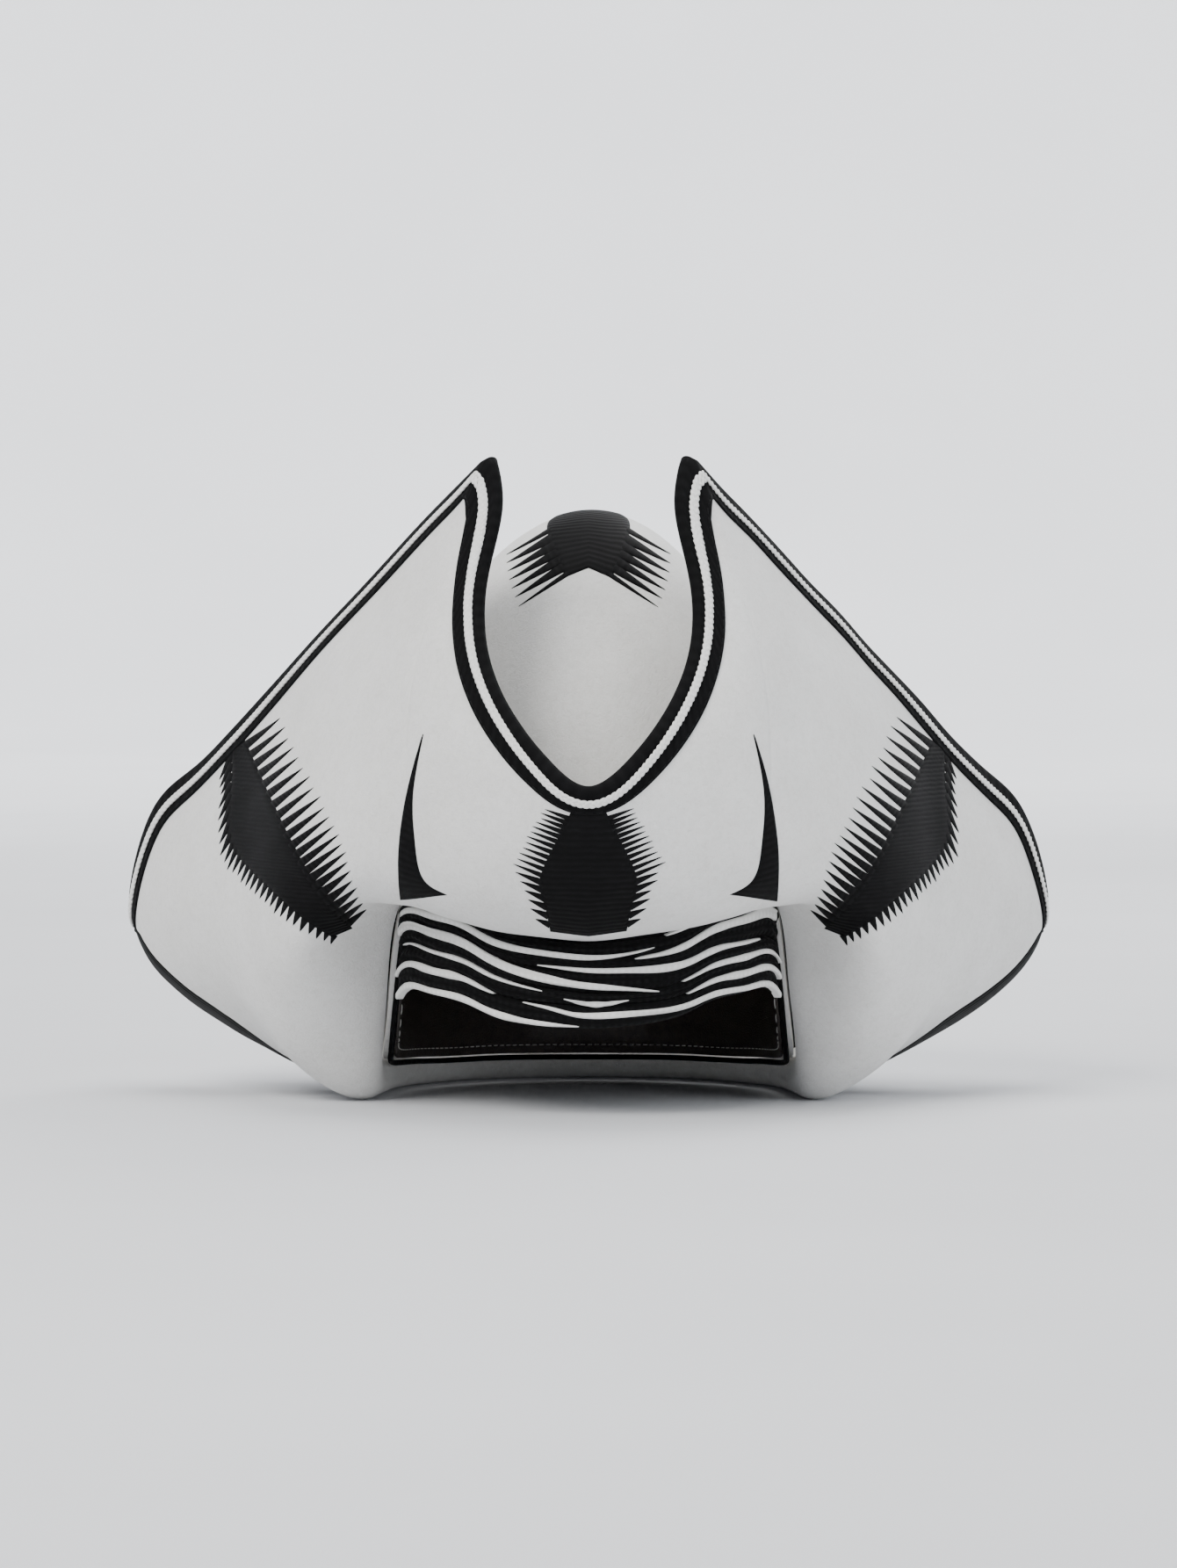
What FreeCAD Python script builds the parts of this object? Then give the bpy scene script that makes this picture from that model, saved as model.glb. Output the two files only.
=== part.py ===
import FreeCAD, Part
import functools
import math
import os

# A pirate's cocked hat for an adult head. Its brim is folded up into two tall peaks beside a notch
# at the front, a rounded flap over each ear and one flap at the back. Millimetres; X = 0 is the
# plane of symmetry, the front is towards -Y, +X is the wearer's left and the floor is Z = 0.

SIZES = [
    ("head_half_width", 87.0),
    ("head_half_length", 107.0),
    ("crown_base", 76.0),
    ("crown_rise", 173.0),
    ("crown_felt_thickness", 2.5),
    ("crown_buckram_inset", 2.6),
    ("crown_buckram_thickness", 0.9),
    ("lining_inset", 3.8),
    ("lining_thickness", 0.6),
    ("lining_seam_height", 150.0),
    ("lining_hem_rise", 20.0),
    ("sweatband_inset", 4.7),
    ("sweatband_thickness", 1.5),
    ("sweatband_height", 35.0),
    ("welt_inset", 3.0),
    ("welt_radius", 1.2),
    ("pad_inset", 6.4),
    ("pad_thickness", 2.6),
    ("pad_half_angle", 34.0),
    ("pad_rise", 6.0),
    ("pad_height", 24.0),
    ("bow_loop_length", 16.0),
    ("bow_loop_height", 4.0),
    ("bow_loop_thickness", 1.2),
    ("bow_knot_size", 4.0),
    ("bow_rise", 24.0),
    ("hat_band_rise", 4.0),
    ("hat_band_height", 25.0),
    ("hat_band_standoff", 0.3),
    ("hat_band_thickness", 0.7),
    ("brim_root_standoff", 3.5),
    ("brim_felt_face", 2.5),
    ("brim_felt_back", 0.6),
    ("brim_buckram_face", 0.5),
    ("wire_radius", 0.9),
    ("wire_offset", 1.2),
    ("binding_inside", 2.6),
    ("binding_outside", 3.3),
    ("binding_notch_leg", 7.8),
    ("binding_notch_swell", 2.4),
    ("binding_flap_leg", 13.2),
    ("binding_inner_leg", 10.0),
    ("braid_notch_start", 1.0),
    ("braid_flap_start", 5.6),
    ("braid_width", 3.4),
    ("braid_height", 1.2),
    ("braid_seat", 3.4),
    ("applique_seat", 2.65),
    ("applique_face", 3.15),
    ("fold_line_width", 3.6),
    ("fold_line_reach", 6.0),
    ("scarf_half_angle", 62.0),
    ("scarf_drop", 4.0),
    ("scarf_front_height", 35.0),
    ("scarf_end_height", 37.0),
    ("scarf_backing_standoff", 0.1),
    ("scarf_backing_thickness", 0.8),
    ("scarf_backing_rise", 2.0),
    ("scarf_turn_standoff", 1.2),
    ("scarf_turn_thickness", 2.2),
    ("scarf_turn_overlap", 3.0),
    ("scarf_hem_radius", 0.9),
]

# The brim is a family of sections, one at each angle round the head from the front (0 degrees) to
# the back (180 degrees), mirrored in X. A station gives the height of the brim's root on the crown,
# then four points further out along the section: the droop, the turn-up, the wall and the edge.
STATIONS = [
    (0, 76, (0, -123, 79), (0, -142, 92), (0, -160, 114), (0, -172, 135.5)),
    (10, 77, (22, -120, 80), (22, -141, 95), (23, -158, 123), (20.5, -163, 149.5)),
    (20, 79, (42, -113, 81.5), (44, -136, 99), (48, -148, 147), (42.8, -140, 187)),
    (27, 82, (55, -105, 84), (59, -131, 103), (63, -136, 165), (43, -118, 228)),
    (30, 84, (61, -101, 85.5), (65, -128, 105), (67.5, -130, 171), (38.4, -109, 250)),
    (33, 86, (66, -97, 87), (71, -125, 106), (71, -124, 175), (40.5, -100, 269)),
    (47, 90, (82, -80, 89), (93, -107, 104), (91.5, -98, 166), (71.8, -66, 237)),
    (60, 89, (93, -58, 82), (114, -82, 84), (116, -70, 142), (102.8, -34, 204.5)),
    (68, 72, (96, -44, 57), (124, -64, 62), (130, -53, 123), (120.5, -15, 185.5)),
    (75, 45, (96, -30, 26), (128, -45, 46), (141, -36, 106), (134.8, 2, 170.5)),
    (82, 25, (94.5, -15, 6.7), (129, -26, 28), (152, -19, 90), (149.5, 16, 154.7)),
    (90, 18, (91.5, 2, 3.25), (127, -5, 21.5), (164, 2, 76), (164.8, 33, 139)),
    (105, 15, (88, 34, 2.9), (131, 31, 19), (179, 37, 58), (187, 55, 115.3)),
    (118, 14, (84, 62, 2.6), (136, 65, 22), (182, 69, 52), (196, 73, 79)),
    (130, 13, (73, 85, 2.5), (120, 98, 24), (156, 106, 62), (180, 100, 92)),
    (150, 12.5, (48, 111, 2.5), (72, 134, 25), (88, 148, 88), (96, 142, 150)),
    (180, 12, (0, 123, 2.5), (0, 146, 26), (0, 158, 98), (0, 152, 178)),
]
STATION_FRACTIONS = (0.0, 0.16, 0.40, 0.68, 1.0)
PEAK_ANGLE = 33
CORNER_ANGLE = 118

# Across a section, from the root to the edge; the steps are short where the brim turns up.
ACROSS = [0.02 * i for i in range(12)] + [0.26, 0.31, 0.37, 0.44, 0.52, 0.61, 0.70, 0.79, 0.88, 0.95, 1.0]

# Outlines of the dark appliques in the front view, as pairs of (x, z) sides from top to bottom.
WING_SIDES = (
    [(149.8, 151.5), (149.6, 130), (149, 109), (129, 91), (108, 74)],
    [(144, 151.5), (131, 130), (118.6, 108.6), (108.5, 92), (99.8, 77)],
)
SPOUT_SIDES = (
    [(-8.2, 127), (-16, 117), (-21.6, 105), (-21, 94), (-17.8, 84)],
    [(8.2, 127), (16, 117), (21.6, 105), (21, 94), (17.8, 84)],
)
CREASE_SIDES = (
    [(66, 155), (72, 136), (75, 122), (76, 108), (76, 96)],
    [(65, 154), (69.5, 133), (69, 117), (66, 106), (58, 98)],
)
# The fold line follows the outline that the lower flap shows from the front, between these fractions.
FOLD_START, FOLD_END = 0.22, 0.86
# The crown applique in plan, as (x, y) sides from the top of the crown to the front.
CROWN_SIDES = (
    [(-15, 4), (-21, -8), (-25, -22), (-24, -36), (-12, -46)],
    [(15, 4), (21, -8), (25, -22), (24, -36), (12, -46)],
)
SCARF_TURNS = 5


def cubic(knots, values, flat_start=False, flat_end=False):
    """A smooth cubic through values at knots; an end is free, or flat where its slope is zero."""
    n = len(knots)
    step = [knots[i + 1] - knots[i] for i in range(n - 1)]
    slope = [(values[i + 1] - values[i]) / step[i] for i in range(n - 1)]
    low, mid, top, rhs = [0.0] * n, [1.0] * n, [0.0] * n, [0.0] * n
    if flat_start:
        mid[0], top[0], rhs[0] = 2 * step[0], step[0], 6 * slope[0]
    if flat_end:
        low[-1], mid[-1], rhs[-1] = step[-1], 2 * step[-1], -6 * slope[-1]
    for i in range(1, n - 1):
        low[i], mid[i], top[i] = step[i - 1], 2 * (step[i - 1] + step[i]), step[i]
        rhs[i] = 6 * (slope[i] - slope[i - 1])
    for i in range(1, n):
        factor = low[i] / mid[i - 1]
        mid[i] -= factor * top[i - 1]
        rhs[i] -= factor * rhs[i - 1]
    bend = [0.0] * n
    bend[-1] = rhs[-1] / mid[-1]
    for i in range(n - 2, -1, -1):
        bend[i] = (rhs[i] - top[i] * bend[i + 1]) / mid[i]

    def at(t):
        i = 0
        while i < n - 2 and t > knots[i + 1]:
            i += 1
        a = (knots[i + 1] - t) / step[i]
        b = 1 - a
        bow = ((a ** 3 - a) * bend[i] + (b ** 3 - b) * bend[i + 1]) * step[i] ** 2 / 6
        return a * values[i] + b * values[i + 1] + bow

    return at


def space_curve(knots, points, mirrored_start, mirrored_end):
    """A curve through points; at a mirrored end it crosses the plane X = 0 square on."""
    axes = [cubic(knots, [p[k] for p in points], mirrored_start and k > 0, mirrored_end and k > 0)
            for k in range(len(points[0]))]
    return lambda t: [axis(t) for axis in axes]


def even(start, end, count):
    """This many evenly spaced values from start to end."""
    return [start + (end - start) * i / (count - 1) for i in range(count)]


doc = FreeCAD.newDocument("pirate_hat")
sheet = doc.addObject("Spreadsheet::Sheet", "sizes")
for row, (name, number) in enumerate(SIZES, start=1):
    sheet.set("A%d" % row, name)
    sheet.set("B%d" % row, str(number))
    sheet.setAlias("B%d" % row, name)
doc.recompute()
size = {name: float(sheet.get(name)) for name, _ in SIZES}

# ---------------------------------------------------------------- the brim's middle surface

station_angles = [s[0] for s in STATIONS]
root_height = cubic(station_angles, [s[1] for s in STATIONS], True, True)
rows_out = [space_curve(station_angles, [s[k] for s in STATIONS], True, True) for k in (2, 3, 4)]
peak = station_angles.index(PEAK_ANGLE)
notch_edge = space_curve(station_angles[:peak + 1], [s[5] for s in STATIONS[:peak + 1]], True, False)
flap_edge = space_curve(station_angles[peak:], [s[5] for s in STATIONS[peak:]], False, True)


def on_head(angle, standoff, height):
    """A point at this angle round the head and this height, standing off the crown."""
    turn = math.radians(angle)
    lean = math.sqrt(1 - (max(height - size["crown_base"], 0) / size["crown_rise"]) ** 2)
    x = (size["head_half_width"] * lean + standoff) * math.sin(turn)
    y = -(size["head_half_length"] * lean + standoff) * math.cos(turn)
    return FreeCAD.Vector(x, y, height)


def half_turn(angle):
    """The same section's angle on the half from 0 to 180 degrees, and the side it is on."""
    angle = (angle + 180) % 360 - 180
    return abs(angle), (-1 if angle < 0 else 1)


def root(angle):
    """Height of the brim's root at any angle round the head."""
    return root_height(half_turn(angle)[0])


@functools.lru_cache(maxsize=None)
def section(angle):
    """The section at this angle, as three splines in the fraction from root to edge."""
    half, side = half_turn(angle)
    foot = on_head(half, size["brim_root_standoff"], root_height(half))
    rim = notch_edge(half) if half <= PEAK_ANGLE else flap_edge(half)
    points = [list(foot)] + [row(half) for row in rows_out] + [rim]
    return [cubic(STATION_FRACTIONS, [p[k] * (side if k == 0 else 1) for p in points]) for k in range(3)]


def brim(angle, fraction):
    """A point of the brim's middle surface."""
    return FreeCAD.Vector(*[axis(fraction) for axis in section(angle)])


@functools.lru_cache(maxsize=None)
def outward(angle, fraction):
    """The unit normal on the brim's outer side, averaged over both sides of a peak."""
    total = FreeCAD.Vector()
    across = brim(angle, fraction + 0.004) - brim(angle, fraction - 0.004)
    for turn in (-0.4, 0.4):
        along = (brim(angle + turn, fraction) - brim(angle, fraction)) * (1 if turn > 0 else -1)
        total += along.cross(across).normalize()
    return total.normalize()


def layer(angles, offset):
    """A grid of points at this offset from the brim's middle, from root to edge."""
    return [[brim(a, v) + outward(a, v) * offset for a in angles] for v in ACROSS]


# ---------------------------------------------------------------- faces and solids from grids


def spline_knots(count, closed):
    """Knots, multiplicities and degree of an even spline with this many poles."""
    if closed:
        return list(range(count + 1)), [1] * (count + 1), 3
    if count == 2:
        return [0, 1], [2, 2], 1
    spans = count - 3
    return list(range(spans + 1)), [4] + [1] * (spans - 1) + [4], 3


def face(grid, closed=False):
    """A spline face with the points of grid as its poles: rows across it, columns along it."""
    across_knots, across_repeats, across_degree = spline_knots(len(grid), False)
    along_knots, along_repeats, along_degree = spline_knots(len(grid[0]), closed)
    surface = Part.BSplineSurface()
    surface.buildFromPolesMultsKnots(grid, across_repeats, along_repeats, across_knots, along_knots,
                                     False, closed, across_degree, along_degree)
    return surface.toShape()


def solid(spans, form="open"):
    """A closed solid between pairs of skins; it is open, a loop of spans, or one smooth ring."""
    ring = form == "ring"
    faces = []
    for skin, back in spans:
        faces += [face(skin, ring), face(back, ring)]
        for row in (0, -1):
            if (skin[row][0] - back[row][0]).Length > 1e-6:
                faces.append(face([skin[row], back[row]], ring))
    if form == "open":
        for (skin, back), column in ((spans[0], 0), (spans[-1], -1)):
            faces.append(face([[r[column] for r in skin], [r[column] for r in back]]))
    sewn = Part.makeCompound(faces)
    sewn.sewShape(0.001)
    body = Part.makeSolid(sewn.Shells[0])
    if body.Volume < 0:
        body.reverse()
    return body


def tube(path, radius, closed=False):
    """A round cord along a path of (point, side, up) frames."""
    halves = []
    for turn in (0, 180):
        angles = [math.radians(turn + step) for step in even(0, 180, 7)]
        halves.append([[p + s * (radius * math.cos(t)) + u * (radius * math.sin(t)) for p, s, u in path]
                       for t in angles])
    upper, lower = halves
    return solid([(upper, lower[::-1])], "ring" if closed else "open")


nodes = []


def add_node(name, shape):
    """A sub-part whose shape is a function of the sheet's sizes."""
    item = doc.addObject("Part::Feature", name)
    item.Label = name
    item.Shape = shape
    nodes.append(item)
    return item


# ---------------------------------------------------------------- crown and what lines it


def dome(name, inset):
    """The crown's full solid, drawn in by this expression on every side."""
    cap = doc.addObject("Part::Ellipsoid", name + "_cap")
    cap.Angle1 = 0
    cap.Angle2 = 90
    cap.setExpression("Radius1", "sizes.crown_rise - (%s)" % inset)
    cap.setExpression("Radius2", "sizes.head_half_width - (%s)" % inset)
    cap.setExpression("Radius3", "sizes.head_half_length - (%s)" % inset)
    cap.setExpression("Placement.Base.z", "sizes.crown_base")
    oval = doc.addObject("Part::Ellipse", name + "_oval")
    oval.setExpression("MajorRadius", "sizes.head_half_length - (%s)" % inset)
    oval.setExpression("MinorRadius", "sizes.head_half_width - (%s)" % inset)
    oval.Placement.Rotation = FreeCAD.Rotation(FreeCAD.Vector(0, 0, 1), 90)
    oval.setExpression("Placement.Base.z", "sizes.crown_base")
    wall = doc.addObject("Part::Extrusion", name + "_wall")
    wall.Base = oval
    wall.Dir = FreeCAD.Vector(0, 0, -1)
    wall.DirMode = "Custom"
    wall.Solid = True
    wall.setExpression("LengthFwd", "sizes.crown_base + 20")
    whole = doc.addObject("Part::MultiFuse", name + "_whole")
    whole.Shapes = [cap, wall]
    return whole


def foot_cutter(name, rise):
    """A ring that removes whatever is below the brim's root line, raised by this much."""
    angles = [4 * i for i in range(90)]
    top = [[on_head(a, standoff, root(a) + rise) for a in angles] for standoff in (-30, 12)]
    low = [[FreeCAD.Vector(p.x, p.y, -40) for p in row] for row in top]
    cutter = doc.addObject("Part::Feature", name)
    cutter.Shape = solid([(top, low)], "ring")
    return cutter


def crown_shell(name, inset, thickness, cutter):
    """One layer of the crown, open below and cut along the root line."""
    shell = doc.addObject("Part::Cut", name + "_shell")
    shell.Base = dome(name + "_out", inset)
    shell.Tool = dome(name + "_in", "%s + %s" % (inset, thickness))
    trimmed = doc.addObject("Part::Cut", name)
    trimmed.Label = name
    trimmed.Base = shell
    trimmed.Tool = cutter
    return trimmed


at_root = foot_cutter("root_cutter", 0)
above_root = foot_cutter("buckram_cutter", 2)
at_hem = foot_cutter("lining_cutter", size["lining_hem_rise"])

def parted(shell, region, inside, outside):
    """Two pieces that meet in a seam: the shell inside a region, and the rest of it."""
    for name, kind, base, tool in ((inside, "Part::Common", region, shell), (outside, "Part::Cut", shell, region)):
        piece = doc.addObject(kind, name)
        piece.Label = name
        piece.Base, piece.Tool = base, tool
        nodes.append(piece)


def seam_region(name, width):
    """A block that takes in the crown's front half, or all of it, by its width."""
    block = doc.addObject("Part::Box", name)
    block.Length = 400
    block.Width = width
    block.Height = 400
    block.Placement.Base = FreeCAD.Vector(-200, -200, -50)
    return block


# The crown's felt is a front and a back piece, with one seam over the head from ear to ear.
parted(crown_shell("crown_shell_felt", "0", "sizes.crown_felt_thickness", at_root),
       seam_region("before_crown_seam", 200), "crown_felt_front", "crown_felt_back")
nodes.append(crown_shell("crown_buckram", "sizes.crown_buckram_inset", "sizes.crown_buckram_thickness",
                         above_root))
above_seam = seam_region("above_lining_seam", 400)
above_seam.setExpression("Placement.Base.z", "sizes.lining_seam_height")
parted(crown_shell("lining", "sizes.lining_inset", "sizes.lining_thickness", at_hem),
       above_seam, "lining_tip", "lining_side")


def band(start, end, inner, outer, low, high, rows=5, closed=False):
    """A curved strip round the head between two standoffs and two heights given by angle."""
    count = 90 if closed else 2 + int(abs(end - start) / 4)
    angles = [start + 360 * i / count for i in range(count)] if closed else even(start, end, count)
    skins = []
    for standoff in (outer, inner):
        skins.append([[on_head(a, standoff, low(a) + (high(a) - low(a)) * f) for a in angles]
                      for f in even(0, 1, rows)])
    return solid([tuple(skins)], "ring" if closed else "open")


def above(rise):
    """Heights at this rise above the brim's root line."""
    return lambda angle: root(angle) + rise


inner = -size["sweatband_inset"] - size["sweatband_thickness"]
add_node("sweatband", band(0, 360, inner, -size["sweatband_inset"], above(0.5),
                           above(size["sweatband_height"]), closed=True))

reed = []
for a in [4 * i for i in range(90)]:
    low_side = root(a) - size["welt_radius"] - 0.4
    centre = on_head(a, -size["welt_inset"], low_side)
    side = (on_head(a, 1, 0) - on_head(a, 0, 0)).normalize()
    reed.append((centre, side, FreeCAD.Vector(0, 0, 1)))
add_node("sweatband_welt", tube(reed, size["welt_radius"], closed=True))

inner = -size["pad_inset"] - size["pad_thickness"]
add_node("forehead_pad", band(-size["pad_half_angle"], size["pad_half_angle"], inner, -size["pad_inset"],
                              above(size["pad_rise"]), above(size["pad_rise"] + size["pad_height"])))

# The sizing bow lies on the sweatband's inside at the centre of the back.
bow_parts = []
for turn in (-90, 90):
    loop = doc.addObject("Part::Wedge", "bow_loop")
    loop.Placement.Rotation = FreeCAD.Rotation(FreeCAD.Vector(0, 0, 1), turn)
    for limit, amount in (("Ymin", "0 * sizes.bow_loop_length"), ("Ymax", "sizes.bow_loop_length"),
                          ("Xmin", "-sizes.bow_loop_thickness / 2"), ("Xmax", "sizes.bow_loop_thickness / 2"),
                          ("X2min", "-sizes.bow_loop_thickness"), ("X2max", "sizes.bow_loop_thickness"),
                          ("Zmin", "-sizes.bow_knot_size * 0.35"), ("Zmax", "sizes.bow_knot_size * 0.35"),
                          ("Z2min", "-sizes.bow_loop_height"), ("Z2max", "sizes.bow_loop_height")):
        loop.setExpression(limit, amount)
    bow_parts.append(loop)
knot = doc.addObject("Part::Box", "bow_knot")
for edge_name, factor in (("Length", 1.0), ("Width", 0.7), ("Height", 1.0)):
    knot.setExpression(edge_name, "sizes.bow_knot_size * %.1f" % factor)
knot.setExpression("Placement.Base.x", "-sizes.bow_knot_size / 2")
knot.setExpression("Placement.Base.y", "-sizes.bow_knot_size * 0.35")
knot.setExpression("Placement.Base.z", "-sizes.bow_knot_size / 2")
bow = doc.addObject("Part::MultiFuse", "sweatband_bow")
bow.Label = "sweatband_bow"
bow.Shapes = bow_parts + [knot]
bow.setExpression("Placement.Base.y", "sizes.head_half_length - sizes.sweatband_inset"
                  " - sizes.sweatband_thickness - sizes.bow_loop_thickness * 2.2")
bow.Placement.Base.z = root(180) + size["bow_rise"]
nodes.append(bow)

inner = size["hat_band_standoff"]
low_edge = size["hat_band_rise"]
add_node("hat_band", band(0, 360, inner, inner + size["hat_band_thickness"], above(low_edge),
                          above(low_edge + size["hat_band_height"]), closed=True))

# ---------------------------------------------------------------- brim layers

FRONT = even(-PEAK_ANGLE, PEAK_ANGLE, 49)
LEFT = even(PEAK_ANGLE, CORNER_ANGLE, 44)
BACK = even(CORNER_ANGLE, 360 - CORNER_ANGLE, 63)
RIGHT = even(360 - CORNER_ANGLE, 360 - PEAK_ANGLE, 44)
REST = LEFT + BACK[1:] + RIGHT[1:]

face_offset = size["brim_felt_face"]
back_offset = size["brim_felt_back"]
for name, angles in (("front", FRONT), ("left", LEFT), ("back", BACK), ("right", RIGHT)):
    skins = (layer(angles, face_offset), layer(angles, back_offset))
    add_node("under_felt_" + name, solid([skins]))

middle = size["brim_buckram_face"]
add_node("brim_buckram", solid([(layer(a, middle), layer(a, -middle)) for a in (FRONT, REST)], "loop"))
add_node("upper_felt", solid([(layer(a, -back_offset), layer(a, -face_offset)) for a in (FRONT, REST)],
                             "loop"))

# ---------------------------------------------------------------- edge wire, binding and braid

EDGE_POINTS = [brim(a, 1.0) for a in even(0, PEAK_ANGLE, 67)[:-1] + even(PEAK_ANGLE, 180, 148)]
EDGE_ANGLES = even(0, PEAK_ANGLE, 67)[:-1] + even(PEAK_ANGLE, 180, 148)


@functools.lru_cache(maxsize=None)
def inset_table(half):
    """Distances from the edge line to points of this section, and their fractions."""
    near = [p for p, a in zip(EDGE_POINTS, EDGE_ANGLES) if abs(a - half) < 30]
    fractions = even(1.0, 0.55, 37)
    distances = []
    for fraction in fractions:
        point = brim(half, fraction)
        distances.append(min((point - q).Length for q in near))
    distances[0] = 0.0
    return distances, fractions


def inset(angle, distance):
    """The fraction at which the section stands this far in from the edge line."""
    distances, fractions = inset_table(half_turn(angle)[0])
    for i in range(1, len(distances)):
        if distances[i] >= distance:
            share = (distance - distances[i - 1]) / (distances[i] - distances[i - 1])
            return fractions[i - 1] + share * (fractions[i] - fractions[i - 1])
    return fractions[-1]


@functools.lru_cache(maxsize=None)
def off_edge(angle):
    """The direction away from the edge within the brim's surface."""
    total = FreeCAD.Vector()
    inward_point = brim(angle, 0.985)
    for turn in (-0.4, 0.4):
        along = (brim(angle + turn, 1.0) - brim(angle, 1.0)).normalize()
        reach = brim(angle, 1.0) - inward_point
        total += (reach - along * reach.dot(along)).normalize()
    return total.normalize()


def along_edge(angle, at_notch, at_flap):
    """A size that changes round the peaks, from its value along the notch to that along the flaps."""
    share = min(max((half_turn(angle)[0] - PEAK_ANGLE + 5) / 10, 0), 1)
    return at_notch + (at_flap - at_notch) * share * share * (3 - 2 * share)


def outer_leg(angle):
    """The width of the binding on the brim's outside; along the notch it swells towards the peaks."""
    swell = size["binding_notch_swell"] * math.sin(math.radians(5 * min(half_turn(angle)[0], 36)))
    return along_edge(angle, size["binding_notch_leg"] + swell, size["binding_flap_leg"])


def over_brim(angle, distance, offset):
    """The point this far in from the edge, at this offset from the brim's middle."""
    fraction = inset(angle, distance)
    return brim(angle, fraction) + outward(angle, fraction) * offset


def binding_skin(angles, offset):
    """The binding's skin at this offset: down the outside, round the edge and down the inside."""
    grid = []
    for share in even(1, 0, 6)[:-1]:
        grid.append([over_brim(a, outer_leg(a) * share, offset) for a in angles])
    for turn in even(90, -90, 7):
        out, up = math.cos(math.radians(turn)) * offset, math.sin(math.radians(turn)) * offset
        grid.append([brim(a, 1.0) + off_edge(a) * out + outward(a, 1.0) * up for a in angles])
    for distance in even(0, size["binding_inner_leg"], 5)[1:]:
        grid.append([over_brim(a, distance, -offset) for a in angles])
    return grid


def braid_skin(angles, height):
    """The braid's skin, bowed up to this height over its seat on the binding."""
    grid = []
    for share in even(0, 1, 7):
        bow_up = size["braid_seat"] + height * math.sin(math.pi * share) ** 0.6
        starts = [along_edge(a, size["braid_notch_start"], size["braid_flap_start"]) for a in angles]
        grid.append([over_brim(a, start + size["braid_width"] * share, bow_up)
                     for a, start in zip(angles, starts)])
    return grid


add_node("edge_binding", solid([(binding_skin(a, size["binding_outside"]),
                                 binding_skin(a, size["binding_inside"])) for a in (FRONT, REST)], "loop"))
add_node("white_braid", solid([(braid_skin(a, size["braid_height"]), braid_skin(a, 0))
                               for a in (FRONT, REST)], "loop"))


def wire_skin(angles, turns):
    """Half of the wire's round skin, just beyond the brim's edge."""
    radius = size["wire_radius"]
    grid = []
    for turn in turns:
        out = size["wire_offset"] + radius * math.cos(math.radians(turn))
        up = radius * math.sin(math.radians(turn))
        grid.append([brim(a, 1.0) + off_edge(a) * out + outward(a, 1.0) * up for a in angles])
    return grid


add_node("brim_wire", solid([(wire_skin(a, even(0, 180, 7)), wire_skin(a, even(360, 180, 7)))
                             for a in (FRONT, REST)], "loop"))

# ---------------------------------------------------------------- appliques on the brim and crown

SEARCH = [(4.0 * i, 0.1 * j) for i in range(30) for j in range(1, 11)]


def find_front(x, z):
    """The angle and fraction at which the brim's front face has this x and z."""
    ahead = [(a, v) for a, v in SEARCH if outward(a, v).y < -0.1]
    a, v = min(ahead, key=lambda s: (brim(*s).x - abs(x)) ** 2 + (brim(*s).z - z) ** 2)
    for _ in range(12):
        here = brim(a, v)
        along = brim(a + 0.2, v) - here
        across = brim(a, v + 0.002) - here
        miss_x, miss_z = abs(x) - here.x, z - here.z
        area = along.x * across.z - across.x * along.z
        a += 0.2 * (miss_x * across.z - across.x * miss_z) / area
        v += 0.002 * (along.x * miss_z - miss_x * along.z) / area
    return (a if x >= 0 else -a), v


def blend(sides, columns=9, rows=13):
    """A grid of flat points between two sides, each a smooth line through its own points."""
    lines = [space_curve(even(0, 1, len(s)), s, False, False) for s in sides]
    grid = []
    for t in even(0, 1, rows):
        first, last = lines[0](t), lines[1](t)
        grid.append([[first[k] + (last[k] - first[k]) * f for k in (0, 1)] for f in even(0, 1, columns)])
    return grid


def brim_patch(places):
    """A thin patch on the brim's outer face over a grid of (angle, fraction) places."""
    skins = [[[brim(a, v) + outward(a, v) * offset for a, v in row] for row in places]
             for offset in (size["applique_face"], size["applique_seat"])]
    return solid([tuple(skins)])


def front_places(sides, mirror):
    """Brim places under a front-view outline, on one side of the hat or the other."""
    return [[find_front(mirror * x, z) for x, z in row] for row in blend(sides)]


for side, mirror in (("left", 1), ("right", -1)):
    add_node("wing_applique_" + side, brim_patch(front_places(WING_SIDES, mirror)))
    add_node("crease_applique_" + side, brim_patch(front_places(CREASE_SIDES, mirror)))
add_node("spout_applique", brim_patch(front_places(SPOUT_SIDES, 1)))

def outline_angle(fraction):
    """The angle at which the lower flap turns away from the front, at this fraction."""
    low, high = 80.0, 125.0
    while high - low > 1e-4:
        middle = (low + high) / 2
        if outward(middle, fraction).y < 0:
            low = middle
        else:
            high = middle
    return low


def fold_places(mirror):
    """Places across the fold line, which narrows to a point at each end."""
    grid = []
    for t in even(0, 1, 33):
        fraction = FOLD_START + (FOLD_END - FOLD_START) * t
        outline = outline_angle(fraction)
        start = brim(outline, fraction)
        ahead = brim(outline_angle(fraction + 0.01), fraction + 0.01) - start
        inwards = FreeCAD.Vector(-ahead.z, 0, ahead.x).normalize()
        width = size["fold_line_width"] * max(math.sin(math.pi * t ** 0.8), 0.08)
        turn = 0.0
        while (brim(outline - turn, fraction) - start).dot(inwards) < width:
            turn += 0.25
            if (brim(outline - turn, fraction) - start).Length > size["fold_line_reach"] * width:
                break
        grid.append([(mirror * (outline + 1 - (turn + 1) * share), fraction) for share in even(0, 1, 5)])
    return grid


for side, mirror in (("left", 1), ("right", -1)):
    add_node("fold_applique_" + side, brim_patch(fold_places(mirror)))


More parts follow.
